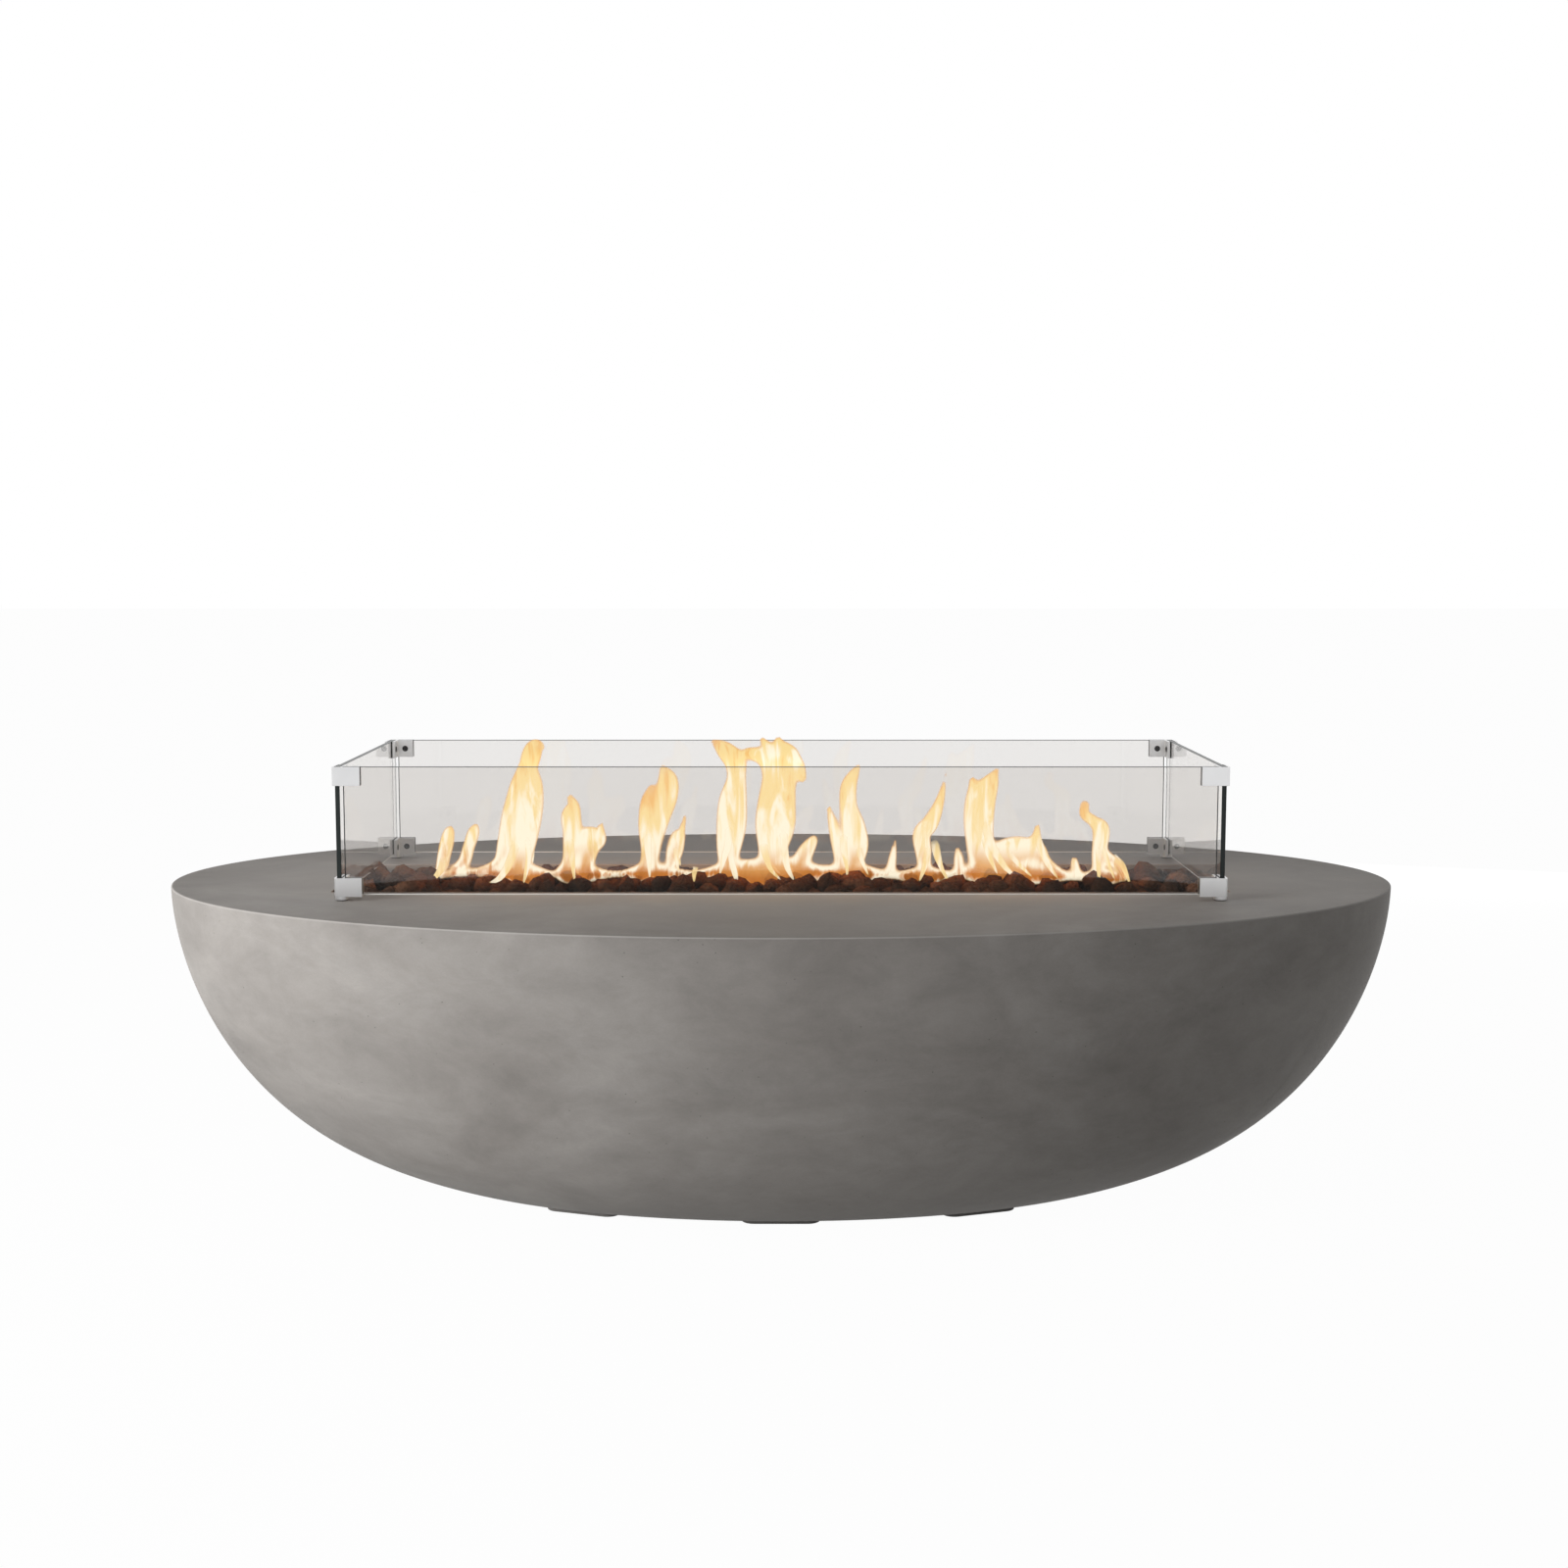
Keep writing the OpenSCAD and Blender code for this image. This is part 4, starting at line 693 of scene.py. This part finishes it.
def makeBowl():
    form = bowlForm
    top = form["height"]
    bowl = bowlBlank()
    cutters = bowlCutters()
    for cutter in cutters:
        cut = bowl.modifiers.new(cutter.name, "BOOLEAN")
        cut.operation = "DIFFERENCE"
        cut.solver = "EXACT"
        cut.object = cutter
    bm = bmesh.new()
    bm.from_object(bowl, bpy.context.evaluated_depsgraph_get())
    for made in [bowl] + cutters:
        bpy.data.objects.remove(made)
    meltPoints(bm)

    def atOpening(v, below):
        near = all(abs(v.co[i]) < form["opening"][i] / 2 + form["openingEdge"] for i in (0, 1))
        return near and v.co.z > top - below

    lip = [
        e for e in bm.edges
        if len(e.link_faces) == 2 and e.calc_face_angle(0) > form["lipTurn"]
        and all(atOpening(v, 10 * sameSpot) for v in e.verts)]
    roundOff(bm, lip, form["openingEdge"], segments=3)
    wear = bm.verts.layers.float.new("paintedEdgeHighlight")  # painted highlight: paler along the rim and the opening's lip
    paintedHighlight = form["rimHighlightShare"] * form["rim"]
    for v in bm.verts:
        reach = math.hypot(v.co.x / form["halfLength"], v.co.y / form["halfWidth"])
        onRim = v.co.z > top - paintedHighlight and reach > 1 - paintedHighlight / form["halfLength"]
        onLip = atOpening(v, form["openingEdge"]) and reach < form["lipWithin"]
        v[wear] = float(onRim or onLip)
    evenNormals(keepPiece("castBowl", bm, ["concrete"], "table", sharp=28.0, replaced=["bowl"]))


makeBowl()
print("bowl cast")


# glass panes: clear faces with small polished edges, edge faces painted dark for the dark that the glass edge
# shows by refraction and reflection, and a painted highlight along the lower edge
paneForm = {"ease": 0.0006, "faceNormal": 0.99, "lowNormal": -0.2}


def makePane(side):
    node = "glass_" + side
    low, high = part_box(node)
    bm = bmesh.new()
    blockBetween(bm, low, high)
    roundOff(bm, bm.edges[:], paneForm["ease"], segments=2)
    thin = min(range(3), key=lambda i: high[i] - low[i])
    for face in bm.faces:
        # edge faces get the painted dark, downward-facing ones the painted highlight
        if abs(face.normal[thin]) < paneForm["faceNormal"]:
            face.material_index = 2 if face.normal.z < paneForm["lowNormal"] else 1
    slots = ["clear_glass", "glass_edge", "glass_foot"]
    keepPiece("pane" + side.capitalize(), bm, slots, "guard", sharp=8.0, replaced=[node])


for side in ("front", "back", "left", "right"):
    makePane(side)
print("panes set")


# eased copies: a CAD piece with its sharp edges rounded so that they catch the light
easedForms = {
    "guard_feet": 0.0006, "control_panel": 0.0005, "panel_screws": 0.0003, "valve_nut": 0.0004,
    "igniter_nut": 0.0005, "inlet_nut": 0.0005, "gas_inlet": 0.0005, "igniter_housing": 0.0005,
    "igniter_button": 0.0010, "control_knob": 0.0005, "feet": 0.0018, "feed_locknut": 0.0006,
    "jet_elbow": 0.0005, "gas_valve": 0.0008, "air_mixer": 0.0006, "clip_screws": 0.0002,
}
for row, side, level in itertools.product(("front", "back"), ("left", "right"), ("top", "bottom")):
    easedForms[f"clip_{row}_{side}_{level}"] = 0.0005
easing = {"flat": math.radians(0.5), "corner": math.radians(35)}


def makeEased(node, radius):
    bm = meshCopy(node)
    bmesh.ops.dissolve_limit(bm, angle_limit=easing["flat"], verts=bm.verts, edges=bm.edges)
    corners = [e for e in bm.edges if len(e.link_faces) == 2 and e.calc_face_angle(0) > easing["corner"]]
    roundOff(bm, corners, radius, segments=2, clamp=True)
    for face in bm.faces:
        face.material_index = 0
    name = camelName(node) + "Eased"
    evenNormals(keepPiece(name, bm, [slotOf[node]], nodes[node]["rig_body"], sharp=40.0, replaced=[node]))


for node, radius in easedForms.items():
    makeEased(node, radius)
print("edges eased on", len(easedForms), "pieces")


# springs: each is kept as a smooth copy of its CAD solid on a mesh of its own; keep is its pushed over its
# free length
springForms = {
    "valve_spring": {"joint": "knob_push", "keep": 7.9 / 12},
    "igniter_spring": {"joint": "igniter_press", "keep": 25.9 / 31},
}


def makeSpring(node):
    bm = meshCopy(node)
    name = camelName(node) + "Wound"
    piece = keepPiece(name, bm, [slotOf[node]], nodes[node]["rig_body"], sharp=70.0, replaced=[node])
    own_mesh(piece)


for node, form in springForms.items():
    makeSpring(node)
print("springs wound:", len(springForms))


# lava rock: a fill that hides the pan, a bed of small stones, and rough lumps that lie lower at the walls
rockPile = {
    "opening": (0.589, 0.1245), "rowStart": 0.25, "rowShift": 0.5, "stray": 0.3,
    "layers": [  # sink is how much lower a layer lies, in the middle and on the way to the walls
        {"pitch": 0.022, "height": (0.361, 0.365), "sink": (0.0, -0.020), "size": (0.027, 0.032),
         "smoothness": 1, "seed": 23},
        {"pitch": 0.024, "height": (0.370, 0.377), "sink": (0.0, 0.0), "size": (0.026, 0.032),
         "smoothness": 1, "seed": 11},
        {"pitch": 0.032, "height": (0.387, 0.405), "sink": (0.002, 0.011), "size": (0.028, 0.042),
         "smoothness": 2, "seed": 5},
    ],
}
stoneForm = {
    "room": 0.56, "lumps": ((2.3, 0.40), (6.0, 0.20)), "ownNoise": 50, "fullTurn": 6.283,
    "stretch": ((0.9, 1.15), (0.75, 1.0), (0.65, 0.9)),
    "ownTint": 0.75, "burnerTint": 0.25, "burnerReach": 0.06,
}


def makeStone(bm, pick, layer, spot):
    form = stoneForm
    size = pick.uniform(*layer["size"])
    room = size * form["room"]
    spot = [max(room - limit, min(limit - room, s)) for s, limit in zip(spot, rockPile["opening"])]
    stone = bmesh.ops.create_icosphere(bm, subdivisions=layer["smoothness"], radius=0.5)["verts"]
    own = Vector([pick.uniform(0, form["ownNoise"]) for _ in range(3)])
    nearBurner = max(0.0, 1 - abs(spot[1]) / form["burnerReach"])
    shade = form["ownTint"] * pick.random() + form["burnerTint"] * nearBurner  # browner beside the burner
    tint = bm.verts.layers.float["stoneTint"]
    for v in stone:
        v[tint] = shade
        v.co *= 1 + sum(noise.noise(v.co * scale + own) * depth for scale, depth in form["lumps"])
    turn = Euler([pick.uniform(0, form["fullTurn"]) for _ in range(3)]).to_matrix().to_4x4()
    stretch = Matrix.Diagonal((*[pick.uniform(*limits) for limits in form["stretch"]], 1))
    toWall = abs(spot[1]) / rockPile["opening"][1]
    height = pick.uniform(*layer["height"]) - layer["sink"][0] - layer["sink"][1] * toWall ** 2
    place = Matrix.Translation((*spot, height)) @ turn @ stretch @ Matrix.Scale(size, 4)
    bmesh.ops.transform(bm, matrix=place, verts=stone)
    lit = bm.verts.layers.float["stonePaintedShade"]
    low = min(v.co.z for v in stone)
    high = max(v.co.z for v in stone)
    for v in stone:
        v[lit] = (v.co.z - low) / (high - low)  # painted shade: dark in the gaps, paler on the crown


def makeRocks():
    bm = bmesh.new()
    for name in ("stoneTint", "stonePaintedShade"):
        bm.verts.layers.float.new(name)
    count = 0
    stray = rockPile["stray"]
    for layer in rockPile["layers"]:
        pick = random.Random(layer["seed"])
        rows = [round(2 * limit / layer["pitch"]) for limit in rockPile["opening"]]
        for i, j in itertools.product(range(rows[0]), range(rows[1])):
            row = i + rockPile["rowStart"] + rockPile["rowShift"] * (j % 2)
            shares = (row / rows[0], (j + 0.5) / rows[1])
            spot = [
                (share * 2 - 1) * limit + pick.uniform(-stray, stray) * layer["pitch"]
                for share, limit in zip(shares, rockPile["opening"])]
            makeStone(bm, pick, layer, spot)
            count += 1
    keepPiece("lavaPile", bm, ["lava"], "table", sharp=70.0, replaced=["lava_rock"])
    return count


print("stones laid:", makeRocks())


# flames: one curtain over the burner, blended from tongues, with bright strands down between the stones
flameForm = {
    "pitch": 3.0, "reach": (-492, 486, -14, 201), "thick": 11.0, "roundOver": 6.0, "tabletop": 406,
    "blend": 4.0, "pathSteps": 8, "thinnest": 0.3, "largestPower": 60, "riseBlend": 5.0,
    "baseRise": 0.1, "shortRise": 0.35, "tallest": 180, "probe": 0.2, "settling": 4, "leastSlope": 0.15,
    "behind": 4.0, "sway": ((7, 41, 70), (5, 17, -38)),
    "deepAt": 20, "fadeOver": 8.0, "emberOver": 64.0, "seam": 0.01,
    # from foot to tip: along, height above the tabletop and half width in millimetres; the base comes last
    "tongues": [
        [(-472, 2, 3), (-465, 20, 9), (-459, 44, 11), (-455, 60, 9), (-452, 67, 4)],
        [(-446, 12, 6), (-434, 22, 9), (-427, 42, 9), (-420, 62, 9), (-416, 72, 4)],
        [(-408, 9, 4), (-386, 22, 9), (-376, 48, 13), (-370, 84, 12), (-362, 118, 9), (-352, 150, 6)],
        [(-358, 16, 14), (-352, 52, 20), (-348, 92, 24), (-346, 122, 22), (-344, 148, 13), (-341, 166, 14),
         (-336, 178, 12), (-328, 178, 6)],
        [(-295, 12, 6), (-288, 34, 11), (-286, 62, 13), (-287, 84, 14), (-284, 98, 9), (-288, 110, 5)],
        [(-278, 40, 12), (-262, 52, 16), (-250, 52, 11), (-247, 70, 4), (-246, 78, 1)],
        [(-270, 14, 12), (-266, 34, 15), (-262, 50, 14)],
        [(-188, 12, 6), (-184, 38, 9), (-184, 70, 12), (-180, 102, 13), (-176, 122, 7)],
        [(-176, 20, 7), (-172, 54, 11), (-164, 84, 14), (-156, 112, 16), (-154, 134, 14), (-160, 150, 6)],
        [(-152, 16, 6), (-146, 34, 12), (-141, 54, 11), (-136, 64, 6), (-131, 84, 3)],
        [(-72, 12, 8), (-72, 34, 16), (-68, 70, 21), (-66, 104, 20), (-61, 136, 14), (-63, 158, 15),
         (-76, 174, 13), (-94, 187, 3)],
        [(-18, 12, 12), (-12, 40, 20), (-8, 72, 28), (-6, 100, 27), (-3, 130, 24), (0, 152, 24),
         (4, 166, 18)],
        [(-8, 148, 14), (-24, 164, 12), (-42, 170, 9), (-54, 168, 4)],
        [(10, 162, 16), (20, 152, 13), (26, 142, 9), (31, 134, 4)],
        [(-12, 168, 10), (-21, 182, 6), (-29, 194, 2)],
        [(-2, 168, 12), (-3, 180, 8), (-4, 191, 3)],
        [(24, 14, 12), (34, 34, 12), (43, 48, 8), (46, 54, 3)],
        [(82, 18, 8), (78, 44, 10), (72, 68, 8), (66, 92, 4), (62, 108, 1)],
        [(98, 14, 10), (102, 42, 18), (99, 70, 17), (92, 98, 13), (92, 124, 12), (99, 142, 8),
         (105, 152, 4)],
        [(150, 10, 7), (153, 30, 6), (157, 58, 1)],
        [(196, 12, 8), (194, 36, 12), (192, 60, 13), (204, 76, 12), (215, 100, 8), (222, 126, 4),
         (226, 149, 1)],
        [(244, 10, 7), (243, 26, 7), (241, 42, 2)],
        [(276, 16, 17), (272, 52, 20), (271, 84, 22), (274, 106, 21), (284, 126, 14), (292, 142, 6),
         (297, 152, 2)],
        [(268, 112, 12), (262, 130, 6), (260, 138, 2)],
        [(296, 24, 22), (318, 34, 23), (338, 38, 18), (348, 52, 9), (350, 70, 4), (349, 82, 1)],
        [(352, 32, 14), (362, 20, 10), (374, 10, 7)],
        [(404, 6, 6), (401, 20, 6), (400, 32, 2)],
        [(433, 10, 8), (434, 38, 11), (436, 66, 13), (426, 78, 9), (414, 88, 8), (414, 100, 7)],
        [(440, 30, 10), (455, 22, 8), (466, 10, 6), (472, 0, 3)],
        [(-470, 1, 4), (-440, 5, 6), (-400, 5, 9), (-350, 4, 18), (-312, 5, 6), (-285, 5, 16), (-225, 4, 6),
         (-180, 4, 15), (-120, 6, 6), (-66, 6, 18), (0, 7, 21), (55, 5, 12), (100, 5, 16), (150, 3, 6),
         (196, 3, 14), (238, 4, 6), (290, 5, 19), (350, 3, 16), (404, 2, 6), (440, 0, 13), (468, -1, 4)],
    ],
    "strands": [
        [(-481, -7, 1), (-472, 2, 3), (-464, 13, 5), (-460, 30, 5)],
        [(-402, -8, 1), (-383, 2, 4), (-369, 24, 6), (-360, 51, 6)],
        [(-349, -4, 1), (-345, 13, 3), (-342, 35, 4), (-345, 59, 4)],
        [(-280, -3, 1), (-283, 16, 3), (-286, 40, 5), (-288, 56, 5)],
        [(-179, 0, 1), (-180, 19, 3), (-182, 46, 5), (-181, 62, 4)],
        [(-139, 12, 1), (-142, 29, 3), (-143, 44, 4)],
        [(-118, -2, 1), (-118, 8, 3), (-117, 14, 4)],
        [(-84, 6, 1), (-77, 31, 4), (-72, 48, 5), (-71, 74, 5)],
        [(-59, -4, 1), (-63, 10, 4), (-68, 31, 4), (-66, 52, 3)],
        [(0, 0, 1), (-14, 15, 3), (-21, 34, 5), (-24, 50, 6)],
        [(18, -2, 1), (9, 15, 4), (5, 37, 5), (3, 68, 6)],
        [(90, 3, 1), (89, 22, 3), (85, 44, 5), (86, 62, 5)],
        [(119, 6, 1), (110, 26, 3), (105, 44, 5)],
        [(187, 0, 1), (195, 21, 4), (200, 46, 5)],
        [(229, -4, 1), (218, 16, 3), (212, 36, 5), (210, 52, 5)],
        [(294, 8, 1), (283, 33, 4), (278, 56, 5)],
        [(323, 0, 1), (304, 18, 4), (286, 48, 6), (278, 78, 6)],
        [(342, 3, 1), (324, 20, 3), (310, 36, 4)],
        [(377, 1, 1), (362, 23, 4), (352, 48, 5), (350, 62, 3)],
        [(432, -8, 1), (431, 16, 3), (430, 46, 4)],
        [(453, 1, 1), (443, 26, 3), (437, 44, 4)],
        [(474, -6, 1), (465, 18, 4), (455, 28, 5)],
    ],
}
strandForm = {
    "rings": 10, "around": 8, "front": 26, "closing": 14, "flat": 0.6, "rise": 0.45,
    "depth": (0.05, 0.5), "fade": (0.3, 2.0),
}
tiny = 1e-30  # keeps off zero


# depth below the curtain's outline and share of the way to the tip, at many points at once
def curtainField(spots):
    form = flameForm
    along, height = spots[:, 0], spots[:, 1]
    total = numpy.zeros_like(along)
    risen = numpy.zeros_like(along)
    weights = numpy.zeros_like(along)

    def falling(away, over):
        return numpy.exp(numpy.clip(-away / over, -form["largestPower"], form["largestPower"]))

    for points in form["tongues"]:
        path = numpy.array([tuple(p) for p in smoothPath(points, form["pathSteps"] * len(points))])
        away = numpy.hypot(along[:, None] - path[:, 0], height[:, None] - path[:, 1])
        away -= numpy.maximum(path[:, 2], form["thinnest"])
        near = away.min(axis=1)
        share = form["baseRise"]
        if points is not form["tongues"][-1]:
            tip = min(1.0, form["shortRise"] + points[-1][1] / form["tallest"])
            share = away.argmin(axis=1) / (len(path) - 1) * tip
        weight = falling(near, form["riseBlend"])
        total += falling(near, form["blend"])
        risen += weight * share
        weights += weight
    return numpy.log(total + tiny) * form["blend"], risen / (weights + tiny)


def swayAt(along, height):
    waves = (size * math.sin(along / long + height / tall) for size, long, tall in flameForm["sway"])
    return flameForm["behind"] + sum(waves)


def curtainGrid(bm):
    left, right, low, high = flameForm["reach"]
    pitch = flameForm["pitch"]
    middle = Matrix.Translation(((left + right) / 2, (low + high) / 2, 0))
    grid = bmesh.ops.create_grid(
        bm, x_segments=int((right - left) / pitch), y_segments=int((high - low) / pitch), size=0.5,
        matrix=middle @ Matrix.Diagonal((right - left, high - low, 1, 1)))["verts"]
    depth = curtainField(numpy.array([v.co[:2] for v in grid]))[0]
    outside = [grid[i] for i in numpy.nonzero(depth < -0.5 * pitch)[0]]
    bmesh.ops.delete(bm, geom=outside, context="VERTS")
    return list(bm.verts)


# moves the grid's border on to the curtain's outline
def settleBorder(spots, border):
    probe = flameForm["probe"]
    for _ in range(flameForm["settling"]):
        depth = curtainField(spots)[0]
        slope = numpy.stack([
            (curtainField(spots + step)[0] - curtainField(spots - step)[0]) / (2 * probe)
            for step in ((probe, 0), (0, probe))], axis=1)
        steep = numpy.maximum((slope ** 2).sum(axis=1), flameForm["leastSlope"])
        spots[border] -= ((depth / steep)[:, None] * slope)[border]


def makeCurtain(bm):
    form = flameForm
    layers = bm.verts.layers.float
    depthLayer, riseLayer, fadeLayer, nearLayer = (
        layers[name] for name in ("flameDepth", "flameRise", "flameFade", "flameNear"))
    kept = curtainGrid(bm)
    spots = numpy.array([v.co[:2] for v in kept])
    border = numpy.array([v.is_boundary for v in kept])
    settleBorder(spots, border)
    depth, risen = curtainField(spots)
    depth = numpy.where(border, 0.0, numpy.maximum(depth, 0.0))
    lowest = {}
    for along, height in spots:
        column = round(along / form["pitch"])
        lowest[column] = min(height, lowest.get(column, height))
    twins = bmesh.ops.duplicate(bm, geom=bm.verts[:] + bm.edges[:] + bm.faces[:])["vert_map"]
    for k, v in enumerate(kept):
        along, height = spots[k]
        half = form["thick"] * (1 - math.exp(-depth[k] / form["roundOver"]))
        middle = swayAt(along, height)
        above = height - lowest[round(along / form["pitch"])]
        for vert, side in ((v, -1), (twins[v], 1)):
            vert.co = (along, middle + side * half, height)
            vert[depthLayer] = min(1.0, depth[k] / form["deepAt"])
            vert[riseLayer] = risen[k]
            vert[fadeLayer] = min(1.0, above / form["fadeOver"])
            vert[nearLayer] = max(0.0, 1 - above / form["emberOver"])
    bmesh.ops.remove_doubles(bm, verts=bm.verts, dist=form["seam"])


def makeStrand(bm, points, front):
    form = strandForm
    layers = bm.verts.layers.float
    depthLayer, riseLayer, fadeLayer, turnLayer = (
        layers[name] for name in ("flameDepth", "flameRise", "flameFade", "flameTurn"))
    rings = form["rings"]
    path = smoothPath(points, rings)
    ring = bmesh.ops.create_circle(bm, segments=form["around"], radius=1.0)["verts"]
    for v in ring:
        v[turnLayer] = math.atan2(v.co.y, v.co.x)
    ends = []
    for k, (along, height, half) in enumerate(path):
        if k:
            edges = dict.fromkeys(e for v in ring for e in v.link_edges if e.other_vert(v) in ring)
            made = bmesh.ops.extrude_edge_only(bm, edges=list(edges))["geom"]
            ring = [g for g in made if isinstance(g, bmesh.types.BMVert)]
        ahead = path[min(k + 1, rings)] - path[max(k - 1, 0)]
        side = Vector((ahead.y, 0, -ahead.x)).normalized()
        out = front * (form["front"] - form["closing"] * k / rings)
        centre = Vector((along, swayAt(along, height) + out, height))
        fade = min(1.0, form["fade"][0] + form["fade"][1] * k / rings) * max(0.0, 1 - (k / rings) ** 2)
        for v in ring:
            t = v[turnLayer]
            v.co = centre + side * (half * math.cos(t)) + Vector((0, form["flat"] * half * math.sin(t), 0))
            v[depthLayer] = form["depth"][0] + form["depth"][1] * abs(math.sin(t))
            v[riseLayer] = form["rise"]
            v[fadeLayer] = fade
        if k in (0, rings):
            ends.append((ring, centre))
    for ring, centre in ends:
        bmesh.ops.pointmerge(bm, verts=ring, merge_co=centre)


def makeFlames():
    bm = bmesh.new()
    for name in ("flameDepth", "flameRise", "flameFade", "flameNear", "flameTurn"):
        bm.verts.layers.float.new(name)
    makeCurtain(bm)
    for points, front in itertools.product(flameForm["strands"], (-1, 1)):
        makeStrand(bm, points, front)
    bmesh.ops.translate(bm, vec=(0, 0, flameForm["tabletop"]), verts=bm.verts)
    bmesh.ops.scale(bm, vec=(0.001, 0.001, 0.001), verts=bm.verts)  # millimetres to metres
    bmesh.ops.recalc_face_normals(bm, faces=bm.faces)
    keepPiece("burnerFlames", bm, ["flame"], "table", sharp=180.0)


makeFlames()
print("flames lit")


# floor, background and light: a soft key lamp, a weaker one behind, white all round and a glow at the fire
studio = {
    "ambient": 0.31, "floorWhite": 0.975, "floorTone": 0.5, "floorHalf": 30.0, "floorRoughness": 0.9,
    "key": {"place": (-2.55, -1.62, 0.98), "aim": (-0.2, 0.0, 0.3), "size": (1.6, 1.3), "power": 99.0},
    "rear": {"place": (0.9, 3.1, 0.22), "aim": (0.0, 0.3, 0.22), "size": (2.8, 0.36), "power": 60.0},
}
fireGlow = {
    "along": [-0.44, -0.35, -0.27, -0.17, -0.065, 0.0, 0.09, 0.2, 0.29, 0.35, 0.43],
    "sides": [-0.030, 0.038], "height": 0.444, "colour": (1.0, 0.40, 0.11), "power": 0.11, "radius": 0.025,
}


def whiteToView(tree, share):
    path = addNode(tree, "ShaderNodeLightPath")
    seen = path.outputs["Is Camera Ray"]
    for kind in ("Is Glossy Ray", "Is Transmission Ray"):
        seen = combine(tree, "MAXIMUM", seen, path.outputs[kind])
    return combine(tree, "MULTIPLY", seen, share)


def grey(tone):
    return (tone, tone, tone, 1)


def hangLamp(name, kind, power, place):
    light = bpy.data.lights.new(name, kind)
    light.energy = power
    lamp = bpy.data.objects.new(name, light)
    lamp.location = place
    lamp.visible_camera = lamp.visible_glossy = lamp.visible_transmission = False
    scene.collection.objects.link(lamp)
    return lamp, light


bm = bmesh.new()
bmesh.ops.create_grid(bm, x_segments=1, y_segments=1, size=studio["floorHalf"])
floor = meshObject("studioFloor", bm)
floorMaterial, tree, shader, _ = startMaterial(
    "paleFloor", Base_Color=grey(studio["floorTone"]), Roughness=studio["floorRoughness"])
glow = addNode(tree, "ShaderNodeEmission")
seen = whiteToView(tree, studio["floorWhite"])
mixShaders(tree, seen, shader.outputs["BSDF"], glow.outputs["Emission"], "Material Output")
floor.data.materials.append(floorMaterial)

world = bpy.data.worlds.new("studioWorld")
scene.world = world
world.use_nodes = True
tree = world.node_tree
plain = tree.nodes["Background"]
plain.inputs["Color"].default_value = grey(studio["ambient"])
white = addNode(tree, "ShaderNodeBackground", Color=grey(1))
seen = whiteToView(tree, 1.0)
mixShaders(tree, seen, plain.outputs["Background"], white.outputs["Background"], "World Output")

for name in ("key", "rear"):
    form = studio[name]
    lamp, light = hangLamp(name + "Light", "AREA", form["power"], form["place"])
    light.shape = "RECTANGLE"
    light.size, light.size_y = form["size"]
    lamp.rotation_euler = (Vector(form["aim"]) - Vector(form["place"])).to_track_quat("-Z", "Y").to_euler()
for along, side in itertools.product(fireGlow["along"], fireGlow["sides"]):
    lamp, light = hangLamp("fireGlow", "POINT", fireGlow["power"], (along, side, fireGlow["height"]))
    light.color = fireGlow["colour"]
    light.shadow_soft_size = fireGlow["radius"]
print("studio lit")
